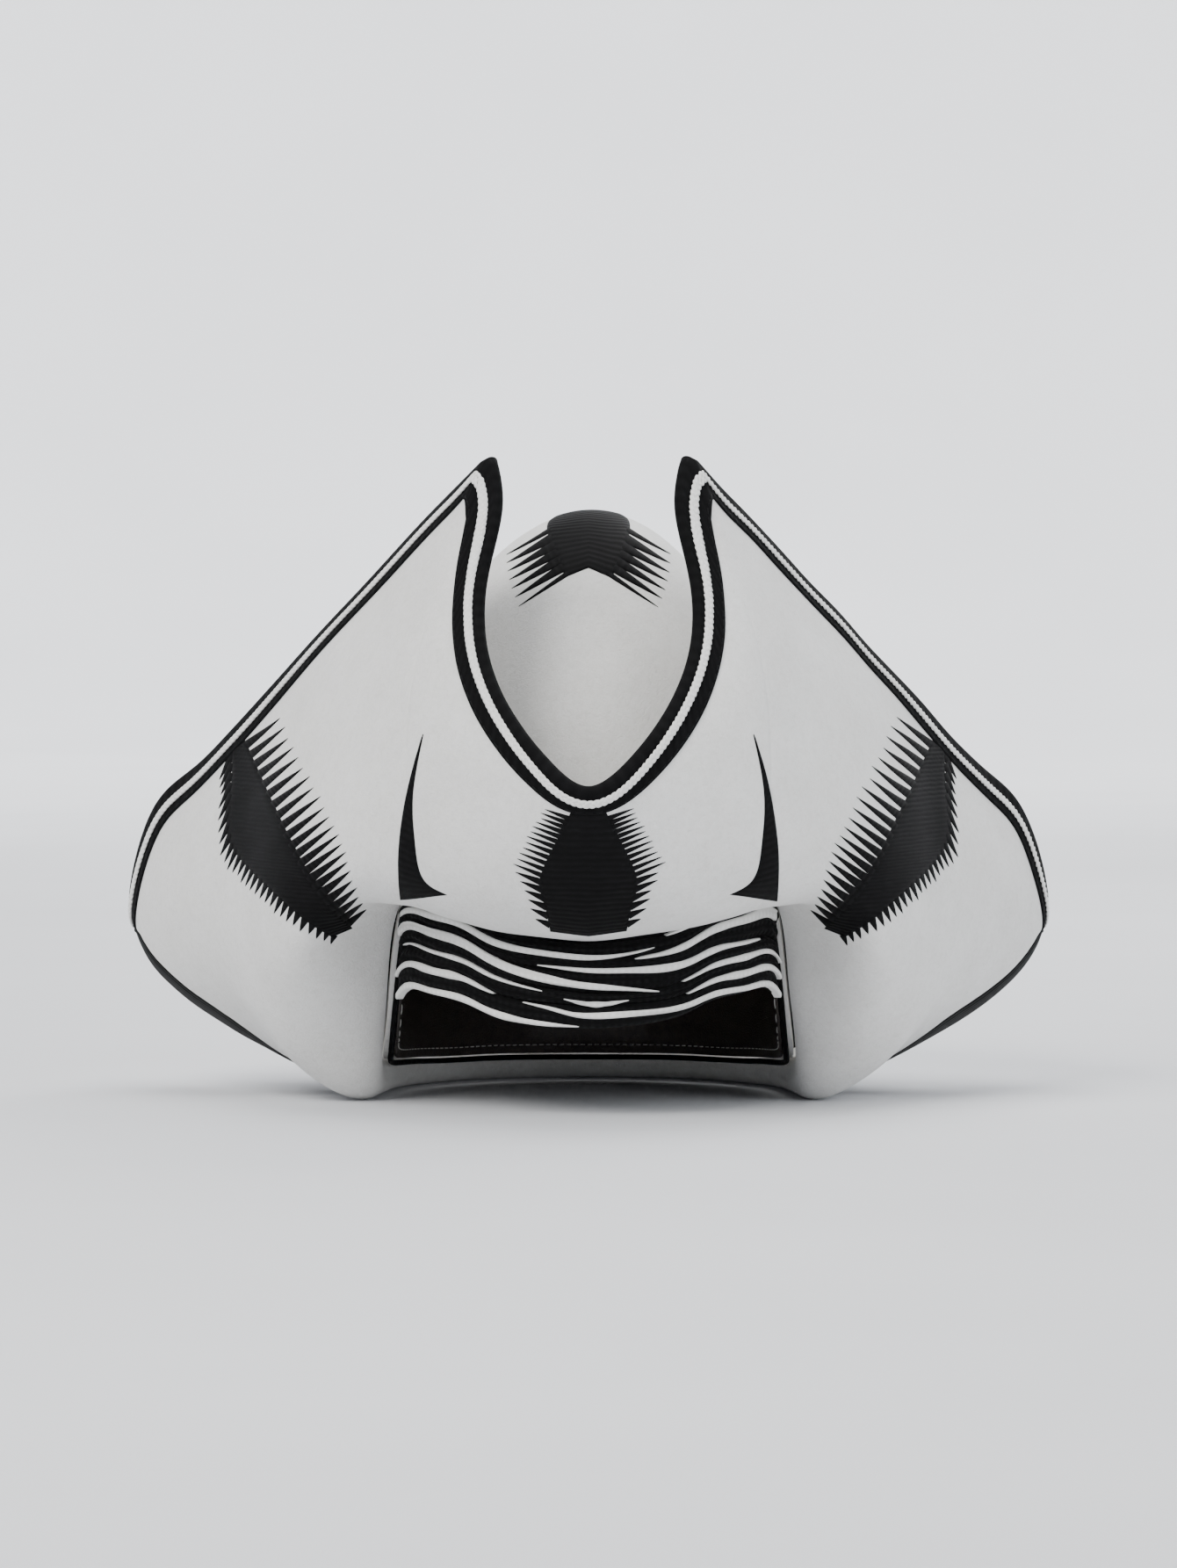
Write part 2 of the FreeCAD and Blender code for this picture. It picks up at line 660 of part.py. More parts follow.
def on_crown(x, y, standoff):
    """A point over this plan position, standing off the crown's dome."""
    wide = size["head_half_width"] + standoff
    long_half = size["head_half_length"] + standoff
    rise = size["crown_rise"] + standoff
    return FreeCAD.Vector(x, y, size["crown_base"] + rise * math.sqrt(1 - (x / wide) ** 2 - (y / long_half) ** 2))


crown_grid = blend(CROWN_SIDES)
gap = size["applique_seat"] - size["brim_felt_face"]
thickness = size["applique_face"] - size["applique_seat"]
add_node("crown_applique", solid([tuple([[on_crown(x, y, s) for x, y in row] for row in crown_grid]
                                        for s in (gap + thickness, gap))]))

# ---------------------------------------------------------------- the scarf sewn under the front


def scarf_top(angle):
    """Top of the scarf, just under the brim."""
    return root(angle) - size["scarf_drop"]


def scarf_low(angle):
    """Bottom of the scarf, a little deeper at its ends than in front."""
    share = (angle / size["scarf_half_angle"]) ** 2
    depth = size["scarf_front_height"] + (size["scarf_end_height"] - size["scarf_front_height"]) * share
    return scarf_top(angle) - depth


def turn_line(index, angle):
    """Height of the line under this turn of the scarf; the lines slant across the forehead."""
    share = index / SCARF_TURNS
    slant = 0.10 * math.sin(math.pi * share) * angle / size["scarf_half_angle"]
    return scarf_low(angle) + (share - slant) * (scarf_top(angle) - scarf_low(angle))


reach = size["scarf_half_angle"]
inner = size["scarf_backing_standoff"]
add_node("scarf_backing", band(-reach, reach, inner, inner + size["scarf_backing_thickness"],
                               lambda a: scarf_low(a) + 1, above(size["scarf_backing_rise"])))
for turn in range(SCARF_TURNS):
    raised = turn % 2
    inner = size["scarf_turn_standoff"] + raised * (size["scarf_turn_thickness"] + 0.3)
    lap = size["scarf_turn_overlap"] / 2 if raised else 0
    low_lap = lap if turn > 0 else 0
    add_node("scarf_turn_%d" % (turn + 1),
             band(-reach, reach, inner, inner + size["scarf_turn_thickness"],
                  lambda a: turn_line(turn, a) - low_lap + 0.1, lambda a: turn_line(turn + 1, a) + lap - 0.1))

seam_standoff = size["scarf_turn_standoff"] + size["scarf_turn_thickness"] + 0.15 + size["scarf_hem_radius"]
for line in range(1, SCARF_TURNS):
    direction = -1 if line % 2 else 1
    shift = direction * (size["scarf_turn_overlap"] / 2 + size["scarf_hem_radius"] + 0.15)
    path = []
    for a in even(-reach, reach, 33):
        radial = (on_head(a, 1, 0) - on_head(a, 0, 0)).normalize()
        path.append((on_head(a, seam_standoff, turn_line(line, a) + shift), radial, FreeCAD.Vector(0, 0, 1)))
    add_node("scarf_hem_%d" % line, tube(path, size["scarf_hem_radius"]))

# ---------------------------------------------------------------- check and export

doc.recompute()
os.makedirs("parts", exist_ok=True)
for item in doc.Objects:
    if "Invalid" in item.State or "Error" in item.State:
        raise RuntimeError("%s is in state %s" % (item.Label, item.State))
for item in nodes:
    if item.Shape.isNull() or not item.Shape.isValid() or not item.Shape.Solids:
        raise RuntimeError("%s has no valid solid" % item.Label)
for item in nodes:
    item.Shape.exportStep("parts/%s.step" % item.Label)
    box = item.Shape.BoundBox
    print("%-26s %9.1f mm3  z %.1f to %.1f" % (item.Label, item.Shape.Volume, box.ZMin, box.ZMax))
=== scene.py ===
import math

import bmesh
import bpy
import numpy as np
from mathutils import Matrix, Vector


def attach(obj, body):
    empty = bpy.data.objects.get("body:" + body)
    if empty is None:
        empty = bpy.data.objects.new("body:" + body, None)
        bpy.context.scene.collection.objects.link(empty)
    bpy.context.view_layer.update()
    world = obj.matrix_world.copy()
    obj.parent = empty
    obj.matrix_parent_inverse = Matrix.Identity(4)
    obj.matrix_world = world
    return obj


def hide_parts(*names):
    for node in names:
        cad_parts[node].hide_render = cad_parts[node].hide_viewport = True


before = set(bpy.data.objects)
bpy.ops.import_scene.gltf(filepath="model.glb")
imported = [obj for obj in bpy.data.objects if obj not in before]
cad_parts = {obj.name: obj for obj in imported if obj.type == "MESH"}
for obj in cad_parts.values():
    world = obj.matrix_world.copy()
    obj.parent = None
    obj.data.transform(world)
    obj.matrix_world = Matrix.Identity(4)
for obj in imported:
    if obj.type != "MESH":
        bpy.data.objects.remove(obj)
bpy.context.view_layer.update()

MM = 0.001
MERGE_DISTANCE = 2e-6
SIDES = ((1, "left"), (-1, "right"))
RNG = np.random.default_rng(7)

# --- the hat's own dimensions, mm

HALF_WIDTH, HALF_LENGTH = 87.0, 107.0
CROWN_BASE, CROWN_RISE = 76.0, 173.0
ROOT_STANDOFF = 3.5
STATIONS = [
    (0, 76, (0, -123, 79), (0, -142, 92), (0, -160, 114), (0, -172, 135.5)),
    (10, 77, (22, -120, 80), (22, -141, 95), (23, -158, 123), (20.5, -163, 149.5)),
    (20, 79, (42, -113, 81.5), (44, -136, 99), (48, -148, 147), (42.8, -140, 187)),
    (27, 82, (55, -105, 84), (59, -131, 103), (63, -136, 165), (43, -118, 228)),
    (30, 84, (61, -101, 85.5), (65, -128, 105), (67.5, -130, 171), (38.4, -109, 250)),
    (33, 86, (66, -97, 87), (71, -125, 106), (71, -124, 175), (40.5, -100, 269)),
    (47, 90, (82, -80, 89), (93, -107, 104), (91.5, -98, 166), (71.8, -66, 237)),
    (60, 89, (93, -58, 82), (114, -82, 84), (116, -70, 142), (102.8, -34, 204.5)),
    (68, 72, (96, -44, 57), (124, -64, 62), (130, -53, 123), (120.5, -15, 185.5)),
    (75, 45, (96, -30, 26), (128, -45, 46), (141, -36, 106), (134.8, 2, 170.5)),
    (82, 25, (94.5, -15, 6.7), (129, -26, 28), (152, -19, 90), (149.5, 16, 154.7)),
    (90, 18, (91.5, 2, 3.25), (127, -5, 21.5), (164, 2, 76), (164.8, 33, 139)),
    (105, 15, (88, 34, 2.9), (131, 31, 19), (179, 37, 58), (187, 55, 115.3)),
    (118, 14, (84, 62, 2.6), (136, 65, 22), (182, 69, 52), (196, 73, 79)),
    (130, 13, (73, 85, 2.5), (120, 98, 24), (156, 106, 62), (180, 100, 92)),
    (150, 12.5, (48, 111, 2.5), (72, 134, 25), (88, 148, 88), (96, 142, 150)),
    (180, 12, (0, 123, 2.5), (0, 146, 26), (0, 158, 98), (0, 152, 178)),
]
STATION_FRACTIONS = (0.0, 0.16, 0.40, 0.68, 1.0)
PEAK, CORNER = 33.0, 118.0

# --- splines


def cubic(knots, values, flat_start=False, flat_end=False):
    """A smooth cubic through values at knots; an end is free, or flat where its slope is zero."""
    knots, values = np.asarray(knots, float), np.asarray(values, float)
    n, step = len(knots), np.diff(knots)
    columns = values.reshape(n, -1)
    starts = np.broadcast_to(flat_start, columns.shape[1])
    ends = np.broadcast_to(flat_end, columns.shape[1])
    bend = np.zeros_like(columns)
    for column in range(columns.shape[1]):
        slope = np.diff(columns[:, column]) / step
        system, rhs = np.eye(n), np.zeros(n)
        if starts[column]:
            system[0, :2], rhs[0] = (2 * step[0], step[0]), 6 * slope[0]
        if ends[column]:
            system[-1, -2:], rhs[-1] = (step[-1], 2 * step[-1]), -6 * slope[-1]
        for i in range(1, n - 1):
            system[i, i - 1:i + 2] = step[i - 1], 2 * (step[i - 1] + step[i]), step[i]
            rhs[i] = 6 * (slope[i] - slope[i - 1])
        bend[:, column] = np.linalg.solve(system, rhs)

    def at(t):
        t = np.asarray(t, float)
        i = np.clip(np.searchsorted(knots, t) - 1, 0, n - 2)
        a = (knots[i + 1] - t) / step[i]
        b = 1 - a
        bow = step[i] ** 2 / 6
        low, high = (a ** 3 - a) * bow, (b ** 3 - b) * bow
        total = (a[..., None] * columns[i] + b[..., None] * columns[i + 1]
                 + low[..., None] * bend[i] + high[..., None] * bend[i + 1])
        return total.reshape(t.shape + values.shape[1:])

    return at


def space_curve(knots, points, mirrored_start=False, mirrored_end=False):
    """A curve through points; at a mirrored end it crosses the plane X = 0 square on."""
    points = np.asarray(points, float)
    off_plane = np.arange(points.reshape(len(points), -1).shape[1]) % points.shape[-1] > 0
    return cubic(knots, points, off_plane & mirrored_start, off_plane & mirrored_end)


angles_of = [s[0] for s in STATIONS]
peak_at = angles_of.index(33)
root_height = cubic(angles_of, [s[1] for s in STATIONS], True, True)
rows_out = space_curve(angles_of, [s[2:5] for s in STATIONS], True, True)
notch_edge = space_curve(angles_of[:peak_at + 1], [s[5] for s in STATIONS[:peak_at + 1]], True, False)
flap_edge = space_curve(angles_of[peak_at:], [s[5] for s in STATIONS[peak_at:]], False, True)
shares = cubic(STATION_FRACTIONS, np.eye(5))


def unit(v):
    return v / np.maximum(np.linalg.norm(v, axis=-1, keepdims=True), 1e-12)


def folded(angle):
    """The angle on the half from 0 to 180 degrees, and the side it is on."""
    angle = (np.asarray(angle, float) + 180) % 360 - 180
    return np.abs(angle), np.where(angle < 0, -1.0, 1.0)


def root(angle):
    return root_height(folded(angle)[0])


def on_head(angle, standoff, height):
    """Points round the head at this height, standing off the crown."""
    turn = np.radians(angle)
    lean = np.sqrt(1 - (np.maximum(np.asarray(height) - CROWN_BASE, 0) / CROWN_RISE) ** 2)
    x = (HALF_WIDTH * lean + standoff) * np.sin(turn)
    y = -(HALF_LENGTH * lean + standoff) * np.cos(turn)
    return np.stack(np.broadcast_arrays(x, y, height), -1)


def brim_middle(angle, fraction):
    """Points of the brim's middle surface."""
    angle, fraction = np.broadcast_arrays(np.asarray(angle, float), np.asarray(fraction, float))
    half, side = folded(angle)
    rim = np.where((half <= PEAK)[..., None], notch_edge(np.minimum(half, PEAK)),
                   flap_edge(np.maximum(half, PEAK)))
    foot = on_head(half, ROOT_STANDOFF, root_height(half))
    controls = np.concatenate([foot[..., None, :], rows_out(half), rim[..., None, :]], -2)
    point = (shares(fraction)[..., None] * controls).sum(-2)
    return point * np.stack([side, np.ones_like(side), np.ones_like(side)], -1)


def brim_normal(angle, fraction):
    """Unit normals on the brim's outer side, averaged over both sides of a peak."""
    angle, fraction = np.broadcast_arrays(np.asarray(angle, float), np.asarray(fraction, float))
    turns = np.stack([angle, angle, angle, angle + 0.4, angle - 0.4])
    places = np.stack([fraction + 0.004, fraction - 0.004, fraction, fraction, fraction])
    above, below, here, after, before = brim_middle(turns, places)
    across = above - below
    return unit(unit(np.cross(after - here, across)) + unit(np.cross(here - before, across)))


def unevenness(points):
    """Slow rises and dips of hand-blocked felt, in mm."""
    x, y, z = points[..., 0], points[..., 1], points[..., 2]
    wave = np.sin(x / 17 + y / 23 + 1.3) * np.sin(z / 19 - y / 31) + np.sin(z / 11 + x / 29 + 0.4) * 0.5
    return 0.35 * wave + 0.15 * np.sin(x / 7 - z / 9) * np.sin(y / 8 + z / 13)


def brim(angle, fraction, offset):
    """Points at this offset from the brim's middle, with the felt's unevenness."""
    middle = brim_middle(angle, fraction)
    steady = np.clip((middle[..., 2] - 4) / 12, 0, 1)
    lift = np.asarray(offset, float) + unevenness(middle) * steady
    return middle + brim_normal(angle, fraction) * lift[..., None]


# --- distances in from the edge

TABLE_ANGLES = np.linspace(0, 180, 721)
TABLE_FRACTIONS = np.linspace(1.0, 0.45, 56)


def edge_distances():
    """How far each section point is from the edge line, by angle and fraction."""
    line = brim_middle(TABLE_ANGLES, 1.0)
    table = np.zeros((len(TABLE_ANGLES), len(TABLE_FRACTIONS)))
    for i, angle in enumerate(TABLE_ANGLES):
        near = line[np.abs(TABLE_ANGLES - angle) < 35]
        points = brim_middle(angle, TABLE_FRACTIONS)
        table[i] = np.linalg.norm(points[:, None] - near[None], axis=-1).min(1)
    table[:, 0] = 0
    return np.maximum.accumulate(table, axis=1)


EDGE_TABLE = edge_distances()


def inset(angle, distance):
    """The fraction at which each section stands this far in from the edge line."""
    angle, distance = np.broadcast_arrays(np.asarray(angle, float), np.asarray(distance, float))
    place = folded(angle)[0] / 180 * (len(TABLE_ANGLES) - 1)
    low = np.minimum(place.astype(int), len(TABLE_ANGLES) - 2)
    found = 0
    for row, share in ((low, 1 - (place - low)), (low + 1, place - low)):
        lines = EDGE_TABLE[row]
        k = np.clip((lines < distance[..., None]).sum(-1), 1, lines.shape[-1] - 1)
        before = np.take_along_axis(lines, k[..., None] - 1, -1)[..., 0]
        after = np.take_along_axis(lines, k[..., None], -1)[..., 0]
        step = np.clip((distance - before) / np.maximum(after - before, 1e-9), 0, 1)
        start = TABLE_FRACTIONS[k - 1]
        found = found + share * (start + (TABLE_FRACTIONS[k] - start) * step)
    return found


def off_edge(angle):
    """Directions away from the edge within the brim's surface."""
    angle = np.asarray(angle, float)
    edge = brim_middle(angle, 1.0)
    reach = edge - brim_middle(angle, 0.985)
    total = 0
    for turn in (-0.4, 0.4):
        along = unit(brim_middle(angle + turn, 1.0) - edge)
        total = total + unit(reach - along * (reach * along).sum(-1, keepdims=True))
    return unit(total)


# --- meshes


def quads(rows, columns, start, wrap_rows=False, wrap_columns=False):
    """Corner indices of a grid's faces, and the grid positions of those corners."""
    r, c = np.meshgrid(np.arange(rows if wrap_rows else rows - 1),
                       np.arange(columns if wrap_columns else columns - 1), indexing="ij")
    r, c = r.ravel(), c.ravel()
    corner_rows = np.stack([r, r, r + 1, r + 1], 1)
    corner_columns = np.stack([c, c + 1, c + 1, c], 1)
    index = start + (corner_rows % rows) * columns + corner_columns % columns
    return index, corner_rows, corner_columns


class Shape:
    """Vertices, faces and texture positions, gathered before one mesh is made of them."""

    def __init__(self):
        self.points, self.faces, self.texture = [], [], []
        self.count = 0

    def grid(self, points, uv=None, wrap_rows=False, wrap_columns=False):
        """Adds a grid of points as faces; uv gives a row position and a column position for each line."""
        rows, columns = points.shape[:2]
        index, r, c = quads(rows, columns, self.count, wrap_rows, wrap_columns)
        if uv is None:
            uv = (np.arange(rows + 1), np.arange(columns + 1))
        row_place, column_place = uv
        self.faces.append(index)
        self.texture.append(np.stack([column_place[c], row_place[r]], -1).reshape(-1, 2))
        self.points.append(points.reshape(-1, 3))
        self.count += rows * columns

    def slab(self, skin, back, uv=None, loop=False):
        """Adds a closed slab between two matching grids."""
        rows, columns = skin.shape[:2]
        first = self.count
        if uv is None:
            uv = lengths(skin, loop)
        self.grid(skin, uv, wrap_columns=loop)
        self.grid(back, uv, wrap_columns=loop)
        second = first + rows * columns
        rims = [(np.arange(columns), True), ((rows - 1) * columns + np.arange(columns), True)]
        if not loop:
            rims += [(np.arange(rows) * columns, False), (np.arange(rows) * columns + columns - 1, False)]
        for line, along in rims:
            if loop and along:
                line = np.append(line, line[0])
            a, b = line[:-1], line[1:]
            index = np.stack([first + a, first + b, second + b, second + a], 1)
            places = uv[1] if along else uv[0]
            k = np.arange(len(a))
            corner = np.stack([places[k], places[k + 1], places[k + 1], places[k]], 1)
            self.faces.append(index)
            self.texture.append(np.stack([corner, np.zeros_like(corner)], -1).reshape(-1, 2))

    def make(self, name, material, slot, replaces=(), crease=None):
        """One smooth-shaded object from everything gathered, riding on the hat."""
        mesh = bpy.data.meshes.new(name)
        points, faces = np.concatenate(self.points) * MM, np.concatenate(self.faces)
        mesh.from_pydata(points.tolist(), [], faces.tolist())
        layer = mesh.uv_layers.new(name="weave")
        layer.data.foreach_set("uv", (np.concatenate(self.texture) * MM).astype(np.float32).ravel())
        smooth(mesh, MERGE_DISTANCE, crease)
        piece = place_object(name, mesh, material)
        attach(piece, "root")
        if replaces:
            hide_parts(*replaces)
        return piece


def smooth(mesh, merge, crease=None):
    """Merges doubled points, turns the faces outwards and shades them smooth up to the crease angle."""
    work = bmesh.new()
    work.from_mesh(mesh)
    bmesh.ops.remove_doubles(work, verts=work.verts, dist=merge)
    bmesh.ops.recalc_face_normals(work, faces=work.faces)
    for face in work.faces:
        face.smooth = True
    if crease is not None:
        for edge in work.edges:
            if len(edge.link_faces) == 2 and edge.calc_face_angle(0) > math.radians(crease):
                edge.smooth = False
    work.to_mesh(mesh)
    work.free()


def place_object(name, mesh, material):
    mesh.materials.append(material)
    made = bpy.data.objects.new(name, mesh)
    bpy.context.scene.collection.objects.link(made)
    return made


def lengths(grid, loop=False):
    """Texture positions of a grid's rows and columns, by distance along its middle lines."""
    rows, columns = grid.shape[:2]
    middle_row, middle_column = grid[rows // 2], grid[:, columns // 2]
    if loop:
        middle_row = np.concatenate([middle_row, middle_row[:1]])
    along = np.concatenate([[0], np.cumsum(np.linalg.norm(np.diff(middle_row, axis=0), axis=1))])
    across = np.concatenate([[0], np.cumsum(np.linalg.norm(np.diff(middle_column, axis=0), axis=1))])
    return np.append(across, across[-1]), np.append(along, along[-1])


def cord(shape, path, normals, radius, sides=8, closed=False, flat=1.0):
    """Adds a round cord along path; normals set its up direction, flat squashes it."""
    following = np.roll(path, -1, 0) - np.roll(path, 1, 0)
    if not closed:
        following[0], following[-1] = path[1] - path[0], path[-1] - path[-2]
    forward = unit(following)
    side = unit(np.cross(forward, normals))
    up = np.cross(side, forward)
    radius = np.broadcast_to(radius, len(path))[:, None]
    ring = [path + radius * (math.cos(t) * side + flat * math.sin(t) * up)
            for t in np.linspace(0, 2 * math.pi, sides, endpoint=False)]
    grid = np.stack(ring)
    run = np.concatenate([[0], np.cumsum(np.linalg.norm(np.diff(path, axis=0), axis=1))])
    around = np.arange(sides + 1) * (2 * math.pi * float(radius.mean()) / sides)
    start = shape.count
    shape.grid(grid, (around, np.append(run, run[-1] + 1)), wrap_rows=True, wrap_columns=closed)
    if not closed:
        for end, centre in ((0, path[0]), (len(path) - 1, path[-1])):
            tip = shape.count
            shape.points.append(centre[None])
            shape.count += 1
            ids = start + np.arange(sides) * len(path) + end
            follow = np.roll(ids, -1)
            for k in range(0, sides, 2):
                face = [tip, ids[k], follow[k], follow[(k + 1) % sides]]
                shape.faces.append(np.array([face]))
                shape.texture.append(np.zeros((4, 2)))


def span_angles(start, end, step):
    return np.linspace(start, end, max(3, int(round((end - start) / step)) + 1))


def around(step=1.5):
    """Angles right round the hat, closer together in the notch, with both peaks included."""
    front = np.linspace(-PEAK, PEAK, 133)
    back = span_angles(PEAK, 360 - PEAK, step)
    return np.concatenate([front[:-1], back[:-1]])


# --- materials


class Nodes:
    """Builds one node material."""

    def __init__(self, name, colour, roughness, **sockets):
        self.material = bpy.data.materials.new(name)
        self.material.use_nodes = True
        self.tree = self.material.node_tree
        self.shader = self.tree.nodes["Principled BSDF"]
        self.shader.inputs["Base Color"].default_value = (*colour, 1)
        self.shader.inputs["Roughness"].default_value = roughness
        for key, value in sockets.items():
            self.shader.inputs[key.replace("_", " ")].default_value = value
        self.place = self.tree.nodes.new("ShaderNodeTexCoord")

    def node(self, kind, inputs=None, **settings):
        made = self.tree.nodes.new(kind)
        for key, value in settings.items():
            setattr(made, key, value)
        for key, value in (inputs or {}).items():
            self.wire(value, made.inputs[key])
        return made

    def wire(self, value, socket):
        if isinstance(value, bpy.types.NodeSocket):
            self.tree.links.new(value, socket)
        else:
            socket.default_value = value

    def noise(self, scale, detail=3.0, rough=0.5, distortion=0.0):
        return self.node("ShaderNodeTexNoise", {
            "Vector": self.place.outputs["Object"], "Scale": scale, "Detail": detail,
            "Roughness": rough, "Distortion": distortion}).outputs["Fac"]

    def wave(self, scale, direction="X", distortion=0.0):
        return self.node("ShaderNodeTexWave", {
            "Vector": self.place.outputs["UV"], "Scale": scale, "Distortion": distortion,
            "Detail": 1.0}, wave_type="BANDS", bands_direction=direction).outputs["Fac"]

    def math(self, operation, a, b=0.0):
        return self.node("ShaderNodeMath", {0: a, 1: b}, operation=operation).outputs[0]

    def ramp(self, value, low, high, dark, light):
        """Maps value between low and high to a range from dark to light."""
        return self.node("ShaderNodeMapRange", {
            "Value": value, "From Min": low, "From Max": high,
            "To Min": dark, "To Max": light}).outputs[0]

    def mix(self, share, first, second):
        return self.node("ShaderNodeMix", {"Factor": share, 6: (*first, 1), 7: (*second, 1)},
                         data_type="RGBA").outputs[2]

    def colour(self, socket):
        self.tree.links.new(socket, self.shader.inputs["Base Color"])

    def roughness(self, socket):
        self.tree.links.new(socket, self.shader.inputs["Roughness"])

    def bump(self, height, distance, strength=1.0):
        made = self.node("ShaderNodeBump", {"Strength": strength, "Distance": distance, "Height": height})
        self.tree.links.new(made.outputs["Normal"], self.shader.inputs["Normal"])


def felt(name, light, dark):
    """Close wool felt: a mottled nap with fine crossing fibres and a little soiling."""
    n = Nodes(name, light, 0.92, Sheen_Weight=0.25, Sheen_Roughness=0.5, Specular_IOR_Level=0.25)
    mottle = n.noise(35, 4, 0.6)
    fibres = n.noise(900, 5, 0.65, 1.6)
    fuzz = n.noise(2600, 3, 0.6, 0.6)
    tufts = n.noise(330, 4, 0.7, 0.8)
    share = n.math("ADD", n.ramp(mottle, 0.35, 0.7, 0.0, 0.35), n.ramp(fibres, 0.42, 0.72, 0.0, 0.45))
    share = n.math("ADD", share, n.ramp(tufts, 0.45, 0.75, 0.0, 0.4))
    n.colour(n.mix(share, light, dark))
    nap = n.math("ADD", n.math("MULTIPLY", fibres, 0.7), n.math("MULTIPLY", fuzz, 0.35))
    n.bump(n.math("ADD", nap, n.math("MULTIPLY", tufts, 0.9)), 0.0007, 0.8)
    return n.material


def banded(name, dark, light, rough, sheen, specular, bands, patches, fine, distance, strength):
    """Cloth or thread: lighter bands where patches of wear let them show, and fibres in the bump."""
    n = Nodes(name, dark, rough, Sheen_Weight=sheen[0], Sheen_Roughness=sheen[1],
              Specular_IOR_Level=specular)
    lines = [n.wave(*band) for band in bands]
    weave = lines[0] if len(lines) == 1 else n.math("MULTIPLY", *lines)
    scale, detail, coarse, low, high, least, most = patches
    share = n.ramp(n.noise(scale, detail, coarse), low, high, least, most)
    n.colour(n.mix(n.math("MULTIPLY", weave, share), dark, light))
    n.bump(n.math("ADD", weave, n.math("MULTIPLY", n.noise(fine[0]), fine[1])), distance, strength)
    return n.material


def ribbed(name, dark, light):
    """Grosgrain ribbon with 0.9 mm ribs across its length."""
    return banded(name, dark, light, 0.85, (0.015, 0.4), 0.10, [(0.05 / (0.9 * MM), "X", 0.3)],
                  (70, 4, 0.6, 0.3, 0.75, 0.1, 0.5), (1800, 0.3), 0.00018, 0.8)


def thread(name, dark, light, rough=0.7):
    """Close satin stitches: fine threads side by side."""
    return banded(name, dark, light, rough, (0.015, 0.35), 0.10, [(100, "Y", 1.2)],
                  (160, 2, 0.5, 0.35, 0.7, 0.15, 0.6), (2200, 0.35), 0.0002, 0.7)


def woven(name, dark, light, rough, scale, sheen):
    """Plain-woven cotton with slubs."""
    return banded(name, dark, light, rough, (sheen, 0.45), 0.12,
                  [(scale, "X", 0.6), (scale, "Y", 0.6)],
                  (240, 3, 0.6, 0.3, 0.7, 0.3, 0.9), (1500, 0.4), 0.0002, 0.7)


def hide(name, dark, light):
    """Soft sweatband leather with pores and creases."""
    n = Nodes(name, dark, 0.48, Specular_IOR_Level=0.45, Coat_Weight=0.05)
    pores = n.node("ShaderNodeTexVoronoi", {"Vector": n.place.outputs["Object"], "Scale": 900.0},
                   feature="DISTANCE_TO_EDGE").outputs["Distance"]
    creases = n.noise(320, 5, 0.7, 0.8)
    n.colour(n.mix(n.ramp(creases, 0.35, 0.7, 0.0, 0.8), dark, light))
    n.roughness(n.ramp(creases, 0.3, 0.7, 0.4, 0.6))
    n.bump(n.math("ADD", n.ramp(pores, 0.0, 0.25, 0.0, 1.0), creases), 0.00025, 0.5)
    return n.material


def satin(name, dark, light):
    """Lining satin: a smooth twill with a soft gloss."""
    n = Nodes(name, dark, 0.34, Sheen_Weight=0.15, Sheen_Roughness=0.3, Anisotropic=0.4)
    twill = n.wave(150, "DIAGONAL", 0.3)
    n.colour(n.mix(n.math("MULTIPLY", twill, n.ramp(n.noise(60), 0.3, 0.7, 0.2, 0.8)), dark, light))
    n.bump(n.math("ADD", twill, n.noise(900)), 0.00008, 0.5)
    return n.material


def open_weave(name, dark, light):
    """Starched buckram."""
    n = Nodes(name, light, 0.9)
    mesh = n.math("MAXIMUM", n.wave(50, "X"), n.wave(50, "Y"))
    n.colour(n.mix(n.ramp(mesh, 0.3, 0.9, 1.0, 0.0), light, dark))
    n.bump(mesh, 0.0004, 0.6)
    return n.material


def steel(name):
    """Drawn spring wire."""
    n = Nodes(name, (0.55, 0.55, 0.57), 0.3, Metallic=1.0)
    n.roughness(n.ramp(n.noise(700, 3), 0.3, 0.7, 0.25, 0.45))
    n.bump(n.noise(1500), 0.00005, 0.4)
    return n.material


WHITE_FELT = felt("white_felt", (0.87, 0.865, 0.845), (0.70, 0.69, 0.66))
INNER_FELT = felt("inner_felt", (0.83, 0.82, 0.795), (0.66, 0.645, 0.61))
RIBBON = ribbed("black_grosgrain", (0.0025, 0.0025, 0.0028), (0.009, 0.009, 0.0095))
BRAID = woven("white_braid_cotton", (0.74, 0.735, 0.71), (0.88, 0.875, 0.86), 0.8, 130, 0.3)
# Painted shade: black thread for the patches laid where the brim and crown fall into shade
SHADE_STITCH = thread("black_satin_stitch_painted_shade", (0.0018, 0.0018, 0.0020), (0.0065, 0.0065, 0.007))
SCARF = woven("black_cotton", (0.0020, 0.0020, 0.0022), (0.008, 0.008, 0.0085), 0.9, 95, 0.02)
# Painted highlight: white cloth for the strips laid along the scarf's folds
HIGHLIGHT_CLOTH = woven("white_cotton_painted_highlight", (0.70, 0.695, 0.67), (0.86, 0.855, 0.84), 0.85, 110, 0.25)
HIDE = hide("sweatband_hide", (0.018, 0.014, 0.012), (0.05, 0.038, 0.03))
LINING = satin("lining_satin", (0.012, 0.012, 0.015), (0.05, 0.05, 0.058))
BUCKRAM = open_weave("buckram", (0.45, 0.41, 0.33), (0.74, 0.70, 0.60))
STEEL = steel("spring_wire")
PAD = woven("pad_jersey", (0.022, 0.022, 0.024), (0.06, 0.06, 0.064), 0.9, 140, 0.3)
BLACK_THREAD = thread("black_thread", (0.006, 0.006, 0.0065), (0.02, 0.02, 0.021), 0.6)
WHITE_THREAD = thread("white_thread", (0.62, 0.61, 0.58), (0.80, 0.79, 0.77), 0.7)

